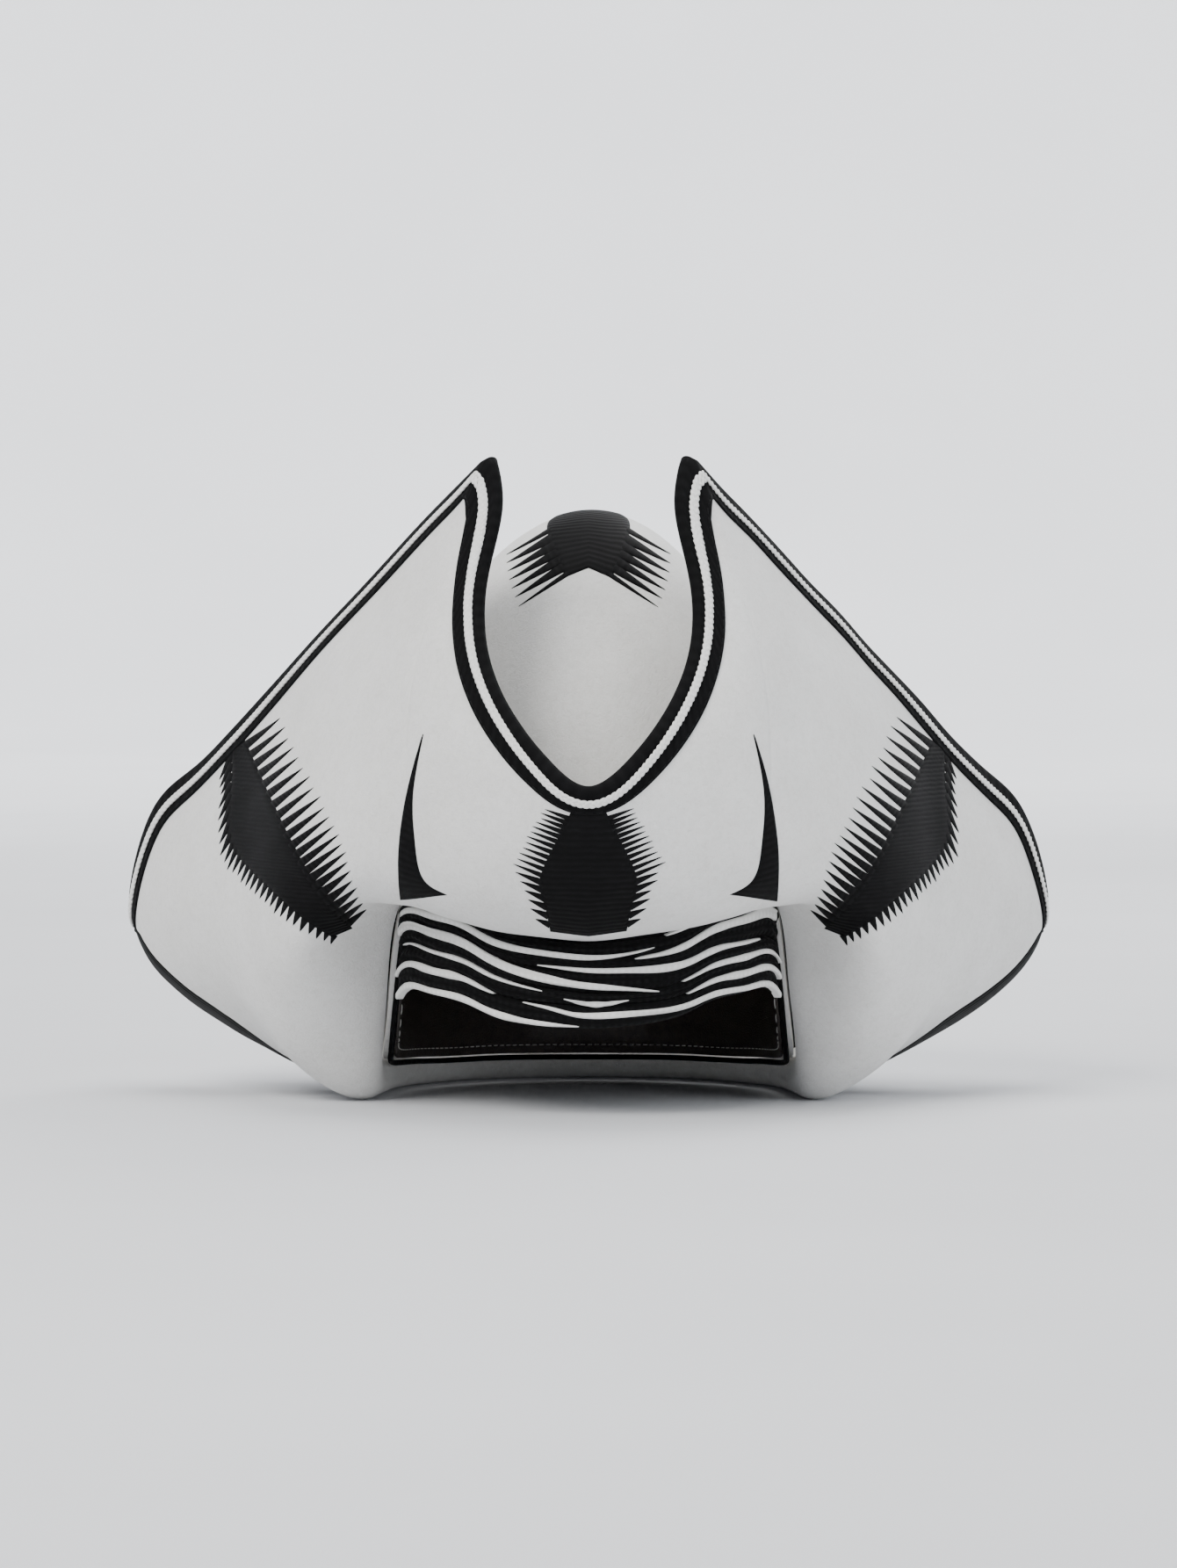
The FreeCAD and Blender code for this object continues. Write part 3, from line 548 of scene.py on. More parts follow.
# --- the brim's felt

FELT_FACE, FELT_BACK = 2.5, 0.6
ACROSS = np.concatenate([np.linspace(0, 0.24, 25), np.linspace(0.24, 1.0, 62)[1:]])


def felt_panel(name, start, end, node):
    """One panel of the outer felt, its seam edges rounded down into the seam."""
    angles = span_angles(start, end, 0.7)
    grid_a, grid_v = np.meshgrid(angles, ACROSS)
    near_seam = np.minimum(np.abs(angles - start), np.abs(angles - end))
    place = brim_middle(angles, 0.5)
    speed = np.linalg.norm(np.gradient(place, axis=0), axis=1) / np.gradient(angles)
    depth = 0.55 * np.exp(-(near_seam * speed / 0.9) ** 2)
    skin = brim(grid_a, grid_v, FELT_FACE - depth[None, :] * np.ones_like(grid_v))
    back = brim(grid_a, grid_v, FELT_BACK)
    shape = Shape()
    shape.slab(skin, back)
    return shape.make(name, WHITE_FELT, "white_felt", (node,), crease=50)


felt_panel("brim_felt_front", -PEAK, PEAK, "under_felt_front")
felt_panel("brim_felt_left", PEAK, CORNER, "under_felt_left")
felt_panel("brim_felt_back", CORNER, 360 - CORNER, "under_felt_back")
felt_panel("brim_felt_right", 360 - CORNER, 360 - PEAK, "under_felt_right")

grid_a, grid_v = np.meshgrid(around(1.0), ACROSS)
shape = Shape()
shape.slab(brim(grid_a, grid_v, -FELT_BACK), brim(grid_a, grid_v, -FELT_FACE), loop=True)
shape.make("brim_felt_inside", INNER_FELT, "inner_felt", ("upper_felt",), crease=50)

# --- edge binding and its stitches

BIND_OUT, BIND_IN = 3.3, 2.6
NOTCH_LEG, NOTCH_SWELL, FLAP_LEG, INNER_LEG = 7.8, 2.4, 13.2, 10.0


def along_edge(angle, at_notch, at_flap):
    """A size that changes round the peaks, from its value along the notch to that along the flaps."""
    share = np.clip((folded(angle)[0] - PEAK + 5) / 10, 0, 1)
    return at_notch + (at_flap - at_notch) * share ** 2 * (3 - 2 * share)


def outer_leg(angle):
    """The width of the binding on the brim's outside; along the notch it swells towards the peaks."""
    swell = NOTCH_SWELL * np.sin(np.radians(5 * np.minimum(folded(angle)[0], 36)))
    return along_edge(angle, NOTCH_LEG + swell, FLAP_LEG)


def binding_skin(angles, offset, edge_dip):
    """The binding down its outer leg, round the edge and down its inner leg."""
    rows = []
    leg = outer_leg(angles)
    for share in (1.0, 0.965, 0.91, 0.8, 0.68, 0.56, 0.44, 0.32, 0.2, 0.1):
        dip = edge_dip if share == 1.0 else 0
        rows.append(brim(angles, inset(angles, leg * share), offset - dip))
    edge, normal, out = brim(angles, 1.0, 0), brim_normal(angles, 1.0), off_edge(angles)
    for turn in np.radians(np.linspace(85, -85, 13)):
        rows.append(edge + offset * (math.cos(turn) * out + math.sin(turn) * normal))
    for share in (0.1, 0.24, 0.4, 0.56, 0.72, 0.87, 0.955, 1.0):
        dip = edge_dip if share == 1.0 else 0
        rows.append(brim(angles, inset(angles, INNER_LEG * share), -offset + dip))
    return np.stack(rows)


ring = around(0.8)
shape = Shape()
shape.slab(binding_skin(ring, BIND_OUT, 0.35), binding_skin(ring, BIND_IN, 0.0), loop=True)
shape.make("edge_binding_ribbon", RIBBON, "black_ribbon", ("edge_binding",), crease=60)


def even_path(distance, offset, pitch):
    """Evenly spaced angles along the line this far in from the edge, and the line's length."""
    dense = around(0.25)
    dense = np.append(dense, dense[0] + 360)
    points = brim(dense, inset(dense, distance(dense)), offset)
    run = np.concatenate([[0], np.cumsum(np.linalg.norm(np.diff(points, axis=0), axis=1))])
    count = int(round(run[-1] / pitch))
    return np.interp(np.arange(count) * run[-1] / count, run, dense), run[-1]


def stitch_row(name, distance, offset, pitch=4.2, length=2.8, radius=0.24):
    """A row of short thread stitches beside the binding's edge, each dipping in at its ends."""
    starts = even_path(distance, offset, pitch)[0]
    shape = Shape()
    following = np.append(starts[1:], starts[0] + 360)
    arch = 2.2 * np.sin(np.linspace(0, math.pi, 6)) - 1.4
    run = starts[:, None] + (following - starts)[:, None] * length / pitch * np.linspace(0, 1, 6)
    place = inset(run, distance(run))
    lines = brim(run, place, offset + math.copysign(0.5 * radius, offset) * arch)
    for line, normal in zip(lines, brim_normal(run, place)):
        cord(shape, line, normal, radius, 6)
    return shape.make(name, BLACK_THREAD, "black_ribbon")


stitch_row("binding_stitches_outside", lambda a: outer_leg(a) - 1.0, BIND_OUT)
stitch_row("binding_stitches_inside", lambda a: INNER_LEG - 1.0 + 0 * a, -BIND_OUT)

# --- white plaited braid

NOTCH_START, FLAP_START, BRAID_WIDTH, BRAID_SEAT = 1.0, 5.6, 3.4, 3.35
PLAIT_PITCH = 7.5


def plaited_braid():
    """A flat three-strand plait laid along the middle of the binding."""
    start = lambda a: along_edge(a, NOTCH_START, FLAP_START)
    fine, total = even_path(lambda a: start(a) + BRAID_WIDTH / 2, BRAID_SEAT, PLAIT_PITCH / 14)
    periods = int(round(total / PLAIT_PITCH))
    phase = np.linspace(0, 2 * math.pi * periods, len(fine), endpoint=False)
    shape = Shape()
    for strand in range(3):
        t = phase + strand * 2 * math.pi / 3
        lift = BRAID_SEAT + 0.55 + 0.22 * np.sin(2 * t)
        fraction = inset(fine, start(fine) + BRAID_WIDTH * (0.5 + 0.33 * np.sin(t)))
        cord(shape, brim(fine, fraction, lift), brim_normal(fine, fraction), 0.78, 8, True, 0.62)
    return shape.make("white_braid_plait", BRAID, "white_braid", ("white_braid",))


plaited_braid()

# --- painted shade on the brim: black satin-stitch patches where the folds fall into shade

search_a, search_v = np.meshgrid(np.arange(0, 120, 1.0), np.linspace(0.04, 1.0, 49))
search_points = brim_middle(search_a, search_v)
ahead = brim_normal(search_a, search_v)[..., 1] < -0.05
SEARCH_A, SEARCH_V, SEARCH_XZ = search_a[ahead], search_v[ahead], search_points[ahead][:, [0, 2]]


def find_front(x, z):
    """Angles and fractions at which the brim's front face has these x and z."""
    shape_of = np.shape(x)
    side = np.where(np.ravel(x) < 0, -1.0, 1.0)
    target = np.stack([np.abs(np.ravel(x)), np.ravel(z)], -1)
    nearest = np.array([((SEARCH_XZ - t) ** 2).sum(1).argmin() for t in target])
    a, v = SEARCH_A[nearest].copy(), SEARCH_V[nearest].copy()
    for _ in range(8):
        here, beside, over = brim_middle(np.stack([a, a + 0.2, a]), np.stack([v, v, v + 0.002]))
        along, up = (beside - here) / 0.2, (over - here) / 0.002
        miss = target - here[:, [0, 2]]
        area = along[:, 0] * up[:, 2] - up[:, 0] * along[:, 2]
        area = np.where(np.abs(area) < 1e-3, 1e-3, area)
        a = a + np.clip((miss[:, 0] * up[:, 2] - up[:, 0] * miss[:, 1]) / area, -3, 3)
        rise = (along[:, 0] * miss[:, 1] - miss[:, 0] * along[:, 2]) / area
        v = np.clip(v + np.clip(rise, -0.06, 0.06), 0, 1)
    return (a * side).reshape(shape_of), v.reshape(shape_of)


def on_front(x, z, offset):
    """Points over the brim's front face at these x and z."""
    return brim(*find_front(x, z), offset)


STITCH_FACE, STITCH_SEAT = 3.1, 2.3


def stitch_height(rise):
    """The stitches' height for a rise from 0 at a patch's edge to 1 inside it."""
    return STITCH_SEAT + (STITCH_FACE - STITCH_SEAT) * (0.4 + 0.6 * rise)



def stitched_patch(shape, place, lines, rows=40, columns=17):
    """A low mound of satin stitches that fills the space between front-view lines, in their order."""
    curves = [space_curve(np.linspace(0, 1, len(s)), s) for s in lines]
    t = np.linspace(0, 1, rows)[:, None]
    f = np.linspace(0, 1, columns)[None, :]
    across = f * (len(lines) - 1)
    k = np.minimum(across.astype(int), len(lines) - 2)
    grid = np.stack([curve(t[:, 0]) for curve in curves])
    share = (across - k)[..., None]
    flat = grid[k[0]].transpose(1, 0, 2) * (1 - share) + grid[k[0] + 1].transpose(1, 0, 2) * share
    inside = np.minimum(np.minimum(f, 1 - f) * columns, np.minimum(t, 1 - t) * rows)
    rise = np.clip(inside / 1.6, 0, 1)
    heights = np.stack([stitch_height(rise), np.full(rise.shape, STITCH_SEAT)])
    shape.slab(*place(flat[..., 0], flat[..., 1], heights))


def strokes(shape, place, starts, ends, widths):
    """Long stitches that each taper from a wide foot to a point."""
    starts, ends = np.asarray(starts, float), np.asarray(ends, float)
    run = ends - starts
    aside = unit(np.stack([-run[:, 1], run[:, 0]], -1))
    t = np.linspace(0, 1, 9)[:, None]
    f = np.linspace(-0.5, 0.5, 5)[None, :]
    breadth = np.asarray(widths, float)[:, None, None] * (1 - t) ** 0.8 + 0.08
    flat = (starts[:, None, None] + run[:, None, None] * t[..., None]
            + aside[:, None, None] * (breadth * f)[..., None])
    crown = (1 - (2 * f) ** 4 * 0.6) * (1 - 0.35 * t ** 3)
    height = STITCH_SEAT + (STITCH_FACE - 0.12 - STITCH_SEAT) * crown
    heights = np.broadcast_to(np.stack([height, np.full(height.shape, STITCH_SEAT)])[:, None],
                              (2,) + flat.shape[:3])
    for skin, back in zip(*place(flat[..., 0], flat[..., 1], heights)):
        shape.slab(skin, back)


def fringe(shape, place, line, count, reach, width, start=0.0, end=1.0, jitter=0.12):
    """Strokes along a front-view line; reach gives each stroke's (x, z) run by its share of the way."""
    curve = space_curve(np.linspace(0, 1, len(line)), line)
    along = start + (end - start) * (np.arange(count) + 0.5) / count
    feet = curve(along)
    runs = np.array([reach(share) for share in along]) * (1 + jitter * RNG.uniform(-1, 1, (count, 1)))
    strokes(shape, place, feet - runs * 0.12, feet + runs, np.full(count, width))


# Each patch made here is black thread laid as painted shade
def shade_stitching(shape, name, node):
    return shape.make(name, SHADE_STITCH, "black_applique", (node,), crease=70)


def mirrored(place, side):
    return lambda x, z, offset: place(np.asarray(x) * side, z, offset)


def facing_lines(side, middle):
    """The right line, the middle line and the left line of a patch that is the same on both sides."""
    return [[(-x, z) for x, z in side], middle, side]


WING_OUTER = [(149.8, 151.5), (149.6, 130), (149, 109), (129, 91), (108, 74)]
WING_INNER = [(144, 151.5), (131, 130), (118.6, 108.6), (108.5, 92), (99.8, 77)]


def long_run(share):
    """The run of the wing's inner strokes, which shorten towards the foot."""
    size = 1 - 0.55 * max(share - 0.62, 0) / 0.38
    return -15.5 * size, 12.0 * size


def short_run(share):
    """The run of the wing's lower strokes."""
    size = 1.1 - 0.6 * share
    return 3.2 * size, -7.2 * size


# Painted shade: a black patch on each wing, where the brim folds back into shade
def wing(side, name, node):
    place = mirrored(on_front, side)
    shape = Shape()
    stitched_patch(shape, place, [WING_OUTER, WING_INNER])
    fringe(shape, place, WING_INNER, 22, long_run, 3.6, 0.0, 0.98, 0.05)
    fringe(shape, place, [(149.8, 146), (149.6, 130), (149, 109)], 8, lambda s: (4.6, -9.0), 3.4)
    fringe(shape, place, [(149, 109), (129, 91), (106, 73.5)], 20, short_run, 2.6)
    return shade_stitching(shape, name, node)


for side, which in SIDES:
    wing(side, "wing_shading_" + which, "wing_applique_" + which)

# Painted shade: a black patch under the notch, where the front point falls into shade
SPOUT_SIDE = [(6.5, 129.0), (12.5, 117), (19, 102.2), (17.5, 92), (15.2, 80.5)]
SPOUT_MIDDLE = [(0, 128.6), (0, 117), (0, 102.2), (0, 91), (0, 78.6)]
shape = Shape()
stitched_patch(shape, on_front, facing_lines(SPOUT_SIDE, SPOUT_MIDDLE), 40, 31)
for side in (1, -1):
    place = mirrored(on_front, side)
    fringe(shape, place, SPOUT_SIDE[:3], 12, lambda s: (8.6 + 2.6 * s, 3.0 + 1.6 * s),
           2.2, 0.06, 1.0, 0.08)
    fringe(shape, place, SPOUT_SIDE[2:], 6, lambda s: (9.6 - 5.0 * s, 3.8 - 2.0 * s),
           3.0, 0.0, 0.95, 0.08)
shade_stitching(shape, "spout_shading", "spout_applique")

# Painted shadow: a dark tapering mark each side of the front, in the crease where the brim bulges round
# the crown
CREASE_OUTER = [(65.6, 158.5), (71.5, 138), (75.2, 118), (76.4, 104), (76.6, 91.5)]
CREASE_INNER = [(65.4, 158.3), (69.6, 134), (69.2, 115), (66.2, 101), (56.5, 94.5)]


def crease_shadow(side, name, node):
    shape = Shape()
    stitched_patch(shape, mirrored(on_front, side), [CREASE_OUTER, CREASE_INNER], 48, 9)
    return shade_stitching(shape, name, node)


for side, which in SIDES:
    crease_shadow(side, "crease_shadow_" + which, "crease_applique_" + which)


def outline_angle(fraction):
    """The angles at which the lower flap turns away from the front, at these fractions."""
    low, high = np.full(np.shape(fraction), 80.0), np.full(np.shape(fraction), 125.0)
    for _ in range(22):
        middle = (low + high) / 2
        facing = brim_normal(middle, fraction)[..., 1] < 0
        low, high = np.where(facing, middle, low), np.where(facing, high, middle)
    return low


def fold_shade_line(side, name, node):
    """Painted shade: the dark line along the lower flap's outline, where the flap turns away from the
    front, tapering to a point at each end.
    """
    t = np.linspace(0, 1, 70)
    fraction = 0.22 + 0.66 * t
    outline = outline_angle(fraction)
    start = brim_middle(outline, fraction)
    ahead = np.gradient(start, axis=0)
    inwards = unit(np.stack([-ahead[:, 2], np.zeros(len(t)), ahead[:, 0]], -1))
    width = 5.2 * np.maximum(np.sin(math.pi * t ** 0.8), 0.03) ** 1.1
    turn = np.zeros(len(t))
    for _ in range(400):
        moved = brim_middle(outline - turn, fraction) - start
        short = ((moved * inwards).sum(-1) < width) & (np.linalg.norm(moved, axis=-1) < 6 * width)
        turn = turn + 0.1 * short
    past = 1.2 * np.minimum(1, 4 * np.minimum(t, 1 - t))
    f = np.linspace(0, 1, 13)[:, None]
    angle = (outline + past)[None, :] - (turn + past)[None, :] * f
    rise = np.clip(np.minimum(f, 1 - f) * 8, 0, 1)
    grid_v = np.broadcast_to(fraction[None, :], angle.shape)
    shape = Shape()
    height = stitch_height(rise) * np.ones_like(angle)
    shape.slab(brim(side * angle, grid_v, height), brim(side * angle, grid_v, STITCH_SEAT))
    return shade_stitching(shape, name, node)


for side, which in SIDES:
    fold_shade_line(side, "fold_shade_line_" + which, "fold_applique_" + which)

# --- the crown


def crown_point(x, psi, standoff):
    """Points of the dome by x and by psi, the rise round the side-to-side axis from the front."""
    wide, deep, tall = HALF_WIDTH + standoff, HALF_LENGTH + standoff, CROWN_RISE + standoff
    rest = np.sqrt(np.clip(1 - (np.asarray(x) / wide) ** 2, 0, 1))
    return np.stack([x * np.ones_like(rest), -deep * rest * np.cos(psi),
                     CROWN_BASE + tall * rest * np.sin(psi)], -1)


def crown_layer(angles, inset_by, foot_rise, floor=0.0, ceiling=None, rings=56):
    """The crown at this inset, from this rise over the brim's root, or floor, to the top or ceiling."""
    wide, deep, tall = HALF_WIDTH - inset_by, HALF_LENGTH - inset_by, CROWN_RISE - inset_by
    turn = np.radians(angles)
    foot = np.maximum(root(angles) + foot_rise, floor)
    low = np.arcsin(np.clip((foot - CROWN_BASE) / tall, 0, 1))
    high = math.pi / 2 if ceiling is None else math.asin((ceiling - CROWN_BASE) / tall)
    grid = []
    if floor < CROWN_BASE:
        for share in np.linspace(0, 1, 14)[:-1]:
            height = foot + (np.maximum(CROWN_BASE, foot) - foot) * share
            lean = np.cos(low)
            grid.append(np.stack([wide * np.sin(turn) * lean, -deep * np.cos(turn) * lean, height], -1))
    for share in np.linspace(0, 1, rings):
        psi = low + (high - low) * share
        grid.append(np.stack([wide * np.sin(turn) * np.cos(psi), -deep * np.cos(turn) * np.cos(psi),
                              CROWN_BASE + tall * np.sin(psi)], -1))
    return np.stack(grid)


def lifted(grid, lift):
    """The points moved straight out of the dome, near enough for fractions of a millimetre."""
    scaled = (grid - [0, 0, CROWN_BASE]) / np.array([HALF_WIDTH, HALF_LENGTH, CROWN_RISE]) ** 2
    scaled[..., 2] = np.maximum(scaled[..., 2], 0)
    return grid + unit(scaled) * lift[..., None]


def crown_unevenness(points):
    x, y, z = points[..., 0], points[..., 1], points[..., 2]
    return 0.5 * np.sin(x / 21 + 0.6) * np.sin(y / 26 + z / 33) + 0.2 * np.sin(z / 13 + x / 15 - y / 17)


def crown_half(name, start, end, node):
    """The front or back piece of the crown's felt, its edges rounded down into the seam over the head."""
    angles = np.linspace(start, end, 121)
    shape = Shape()
    skin = crown_layer(angles, 0.0, 0.0)
    seam_dip = 0.45 * np.exp(-(skin[..., 1] / 0.9) ** 2)
    back = crown_layer(angles, FELT_FACE, 0.0)
    shape.slab(lifted(skin, crown_unevenness(skin) - seam_dip), lifted(back, crown_unevenness(back)))
    return shape.make(name, WHITE_FELT, "white_felt", (node,), crease=50)


crown_half("crown_felt_front_piece", -90, 90, "crown_felt_front")
crown_half("crown_felt_back_piece", 90, 270, "crown_felt_back")


def on_crown(x, z, offset):
    """Points over the dome's front at these x and z; z above the top carries on over it."""
    x = np.asarray(x, float)
    rest = np.sqrt(np.clip(1 - (x / HALF_WIDTH) ** 2, 0, 1))
    level = (np.asarray(z, float) - CROWN_BASE) / (CROWN_RISE * rest)
    psi = np.where(level <= 0.985, np.arcsin(np.clip(level, -1, 0.985)),
                   math.asin(0.985) + (level - 0.985) * 6.0)
    standoff = np.asarray(offset, float) - FELT_FACE
    base = crown_point(x, psi, 0.0)
    above = crown_point(x, psi, 1.0) - base
    lift = standoff + crown_unevenness(base)
    return base + above * lift[..., None]


# Painted shade: a black patch with tapering strokes over the top of the crown
CROWN_SIDE = [(13, 252.0), (16.8, 245.5), (17.2, 240), (14.2, 231.5), (9.6, 221.6)]
CROWN_MIDDLE = [(0, 253.5), (0, 247.5), (0, 241.5), (0, 234.5), (0, 225.6)]
shape = Shape()
stitched_patch(shape, on_crown, facing_lines(CROWN_SIDE, CROWN_MIDDLE), 40, 31)
for side in (1, -1):
    place = mirrored(on_crown, side)
    share = np.linspace(0, 1, 7)
    feet = np.stack([16.5 - 7.5 * share, 241.0 - 18.0 * share], -1)
    tips = np.stack([34.5 - 5.5 * share ** 2, 231.0 - 21.5 * share], -1)
    widths = np.where(np.abs(share - 0.5) > 0.45, 2.4, 4.4)
    strokes(shape, place, feet + (feet - tips) * 0.15, tips, widths)
shade_stitching(shape, "crown_shading", "crown_applique")

# --- strips round the crown


def band_grid(angles, low, high, standoff, rows):
    """Points on a strip round the crown; standoff is a function of the share of its height."""
    share = np.linspace(0, 1, rows)[:, None]
    height = low(angles)[None, :] + (high(angles) - low(angles))[None, :] * share
    return on_head(angles[None, :], standoff(share) + 0 * height, height)


def above(rise):
    return lambda angles: root(angles) + rise


def strip(name, material, slot, node, angles, low, high, outer, inner, loop=True):
    shape = Shape()
    shape.slab(*(band_grid(angles, low, high, standoff, 14) for standoff in (outer, inner)), loop=loop)
    return shape.make(name, material, slot, (node,) if node else (), crease=60)


def thread_line(name, angles, height, standoff, radius, material, slot, length=0.62):
    """Separate stitches on a line round the crown, one for each step of angles."""
    shape = Shape()
    for start, stop in zip(angles[:-1], angles[1:]):
        run = start + (stop - start) * length * np.linspace(0, 1, 5)
        arch = radius * np.sin(np.linspace(0, math.pi, 5)) * np.sign(standoff + 5)
        line = on_head(run, standoff + arch, height(run))
        outward_of = unit(on_head(run, 1.0, 0 * run) - on_head(run, 0.0, 0 * run))
        cord(shape, line, outward_of, radius, 6)
    return shape.make(name, material, slot)


SWEAT_INSET, SWEAT_THICKNESS = 4.7, 1.5
WELT_INSET, WELT_RADIUS = 3.0, 1.2
PAD_INSET, PAD_REACH, PAD_RISE, PAD_HEIGHT = 6.4, 34, 6, 24
full_turn = np.linspace(0, 360, 240, endpoint=False)
edge_round = lambda share: np.minimum(1, 9 * np.minimum(share, 1 - share)) ** 0.5

ribbon = strip("hat_band_ribbon", RIBBON, "black_ribbon", "hat_band", full_turn, above(4), above(29),
               lambda s: 0.45 + 0.5 * edge_round(s), lambda s: 0.3 + 0 * s)
strip("hat_band_lap", RIBBON, "black_ribbon", None, np.linspace(92, 108, 14), above(4.4), above(28.6),
      lambda s: 1.05 + 0.5 * edge_round(s), lambda s: 0.9 + 0 * s, loop=False)

strip("sweatband_leather", HIDE, "sweatband_hide", "sweatband", full_turn, above(0.5), above(35),
      lambda s: -SWEAT_INSET + 0 * s, lambda s: -5.6 - 0.6 * edge_round(s) - 0.12 * np.sin(9 * s))
thread_line("sweatband_stitches", np.linspace(0, 360, 166), above(4.0), -6.3, 0.22, WHITE_THREAD,
            "sweatband_hide")

welt_path = on_head(full_turn, -WELT_INSET, root(full_turn) - 1.6)
shape = Shape()
cord(shape, welt_path, np.tile([0.0, 0.0, 1.0], (len(full_turn), 1)), WELT_RADIUS, 12, True)
shape.make("sweatband_welt_cord", RIBBON, "black_ribbon", ("sweatband_welt",))

pad_angles = np.linspace(-PAD_REACH, PAD_REACH, 61)
pad_swell = np.clip((PAD_REACH - np.abs(pad_angles)) / 5, 0, 1) ** 0.5
share = np.linspace(0, 1, 17)[:, None]
pad_height = root(pad_angles)[None, :] + PAD_RISE + PAD_HEIGHT * share
channel = 0.35 * np.exp(-((pad_angles[None, :] + 8.5) % 17 - 8.5) ** 2 / 1.2)
pad_crown = np.sin(math.pi * np.clip(share, 0.03, 0.97)) ** 0.45
pad_depth = 0.5 + 2.1 * pad_swell[None, :] * pad_crown - channel
shape = Shape()
shape.slab(on_head(pad_angles[None, :], -PAD_INSET + 0 * pad_height, pad_height),
           on_head(pad_angles[None, :], -PAD_INSET - pad_depth, pad_height))
pad = shape.make("forehead_pad_cushion", PAD, "pad_foam", ("forehead_pad",), crease=70)

# --- the sweatband's sizing bow

BOW_Y, BOW_Z = HALF_LENGTH - SWEAT_INSET - SWEAT_THICKNESS - 2.64, float(root(180)) + 24.0
RIBBON_THICKNESS = 0.4


def ribbon_slab(shape, path, breadth):
    """A ribbon that stands on edge along a path in plan."""
    ahead = unit(np.gradient(path, axis=0))
    aside = np.stack([-ahead[:, 1], ahead[:, 0], np.zeros(len(path))], -1)
    up = np.linspace(-0.5, 0.5, 7)[:, None, None] * breadth[None, :, None] * np.array([0, 0, 1.0])
    half = aside[None] * RIBBON_THICKNESS / 2
    shape.slab(path[None] + up + half, path[None] + up - half)


shape = Shape()
for side in (1, -1):
    t = np.linspace(0.04, 1.96, 29) * math.pi
    x = 1.4 + 7.2 * (1 - np.cos(t))
    path = np.stack([side * x, BOW_Y - 1.25 * np.sin(t), BOW_Z + 0.06 * x], -1)
    ribbon_slab(shape, path, 2.8 + 5.0 * (x / 16) ** 1.3)
    s = np.linspace(0, 1, 9)
    tail = np.stack([side * (1 + 7 * s), BOW_Y + 0.9 + 0.3 * np.sin(5 * s), BOW_Z - 10 * s], -1)
    ribbon_slab(shape, tail, np.full(9, 3.6))
t = np.linspace(0, 2 * math.pi, 16, endpoint=False)
knot = [np.stack([r * 2.0 * np.cos(t), BOW_Y + r * 1.9 * np.sin(t), BOW_Z + h + 0 * t], -1)
        for r, h in ((0, -2.1), (0.8, -2.0), (1, -1), (0.93, 0), (1, 1), (0.8, 2.0), (0, 2.1))]
shape.grid(np.stack(knot), wrap_columns=True)
shape.make("sweatband_sizing_bow", RIBBON, "black_ribbon", ("sweatband_bow",), crease=60)

# --- satin lining

LINING_SEAM = 150.0


def lining_piece(name, node, foot_rise, floor, ceiling, pleat):
    """Part of the lining, its fullness taken up in small pleats that die away from the seam."""
    angles = np.linspace(0, 360, 360, endpoint=False)
    back = crown_layer(angles, 3.8, foot_rise, floor, ceiling, 30)
    skin = crown_layer(angles, 4.4, foot_rise, floor, ceiling, 30)
    near = np.exp(-np.abs(skin[..., 2] - LINING_SEAM) / 28)
    folds = 0.5 + 0.5 * np.sin(np.radians(angles) * 48 + 0.6 * np.sin(np.radians(angles) * 5))
    drop = pleat * near * folds[None, :] + 0.25 * (1 + np.sin(skin[..., 2] / 9 + angles / 14))
    shape = Shape()
    shape.slab(lifted(skin, -drop), back, loop=True)
    piece = shape.make(name, LINING, "lining_cloth", (node,), crease=70)
    return piece


lining_piece("lining_side_satin", "lining_side", 20, 0.0, LINING_SEAM, 1.3)
lining_piece("lining_tip_satin", "lining_tip", 0, LINING_SEAM, None, 0.9)
shape = Shape()
lean = math.sqrt(1 - ((LINING_SEAM - CROWN_BASE) / (CROWN_RISE - 5)) ** 2)
seam = np.stack([(HALF_WIDTH - 5.6) * lean * np.sin(np.radians(full_turn)),
                 -(HALF_LENGTH - 5.6) * lean * np.cos(np.radians(full_turn)),
                 LINING_SEAM + 0 * full_turn], -1)
cord(shape, seam, np.tile([0.0, 0.0, 1.0], (len(full_turn), 1)), 0.8, 8, True)
shape.make("lining_seam_piping", LINING, "lining_cloth")

# --- the folded scarf under the front

SCARF_REACH = 62.0
SCARF_RADIUS = HALF_WIDTH + 4.0


def scarf_top(angles):
    return root(angles) - 4.0


def scarf_low(angles):
    return scarf_top(angles) - 35.0 - 2.0 * (angles / SCARF_REACH) ** 2


def scarf_share(x, z):
    """The share of the scarf's height at a front-view place; its top and foot both sag in the middle."""
    foot = 34.5 + 15.5 * (x / 80) ** 2
    crest = 76.5 + 12.0 * (x / 75) ** 2
    return (z - foot) / (crest - foot)


def scarf_line(points):
    """A line across the scarf as a function of angle, from its front-view points."""
    points = np.array(points, float)
    angles = np.degrees(np.arcsin(np.clip(points[:, 0] / SCARF_RADIUS, -0.95, 0.95)))
    return cubic(angles, scarf_share(points[:, 0], points[:, 1]))


FOLD_LINES = [
    lambda a: 0.0 * a,
    scarf_line([(-82, 62.5), (-60, 53.8), (-36, 48.5), (3, 46.3), (38, 48), (70, 56), (82, 61.5)]),
    scarf_line([(-82, 70.5), (-55, 61.5), (-19, 54), (20, 51.8), (50, 57.5), (82, 67.5)]),
    scarf_line([(-82, 79), (-55, 70.5), (-26, 64.5), (7.5, 63), (36, 63.6), (66, 69.5), (82, 74)]),
    scarf_line([(-82, 86), (-58, 79), (-32, 72.6), (0, 69.3), (22, 69.2), (47, 74), (82, 85)]),
    lambda a: 1.0 + 0.0 * a,
]


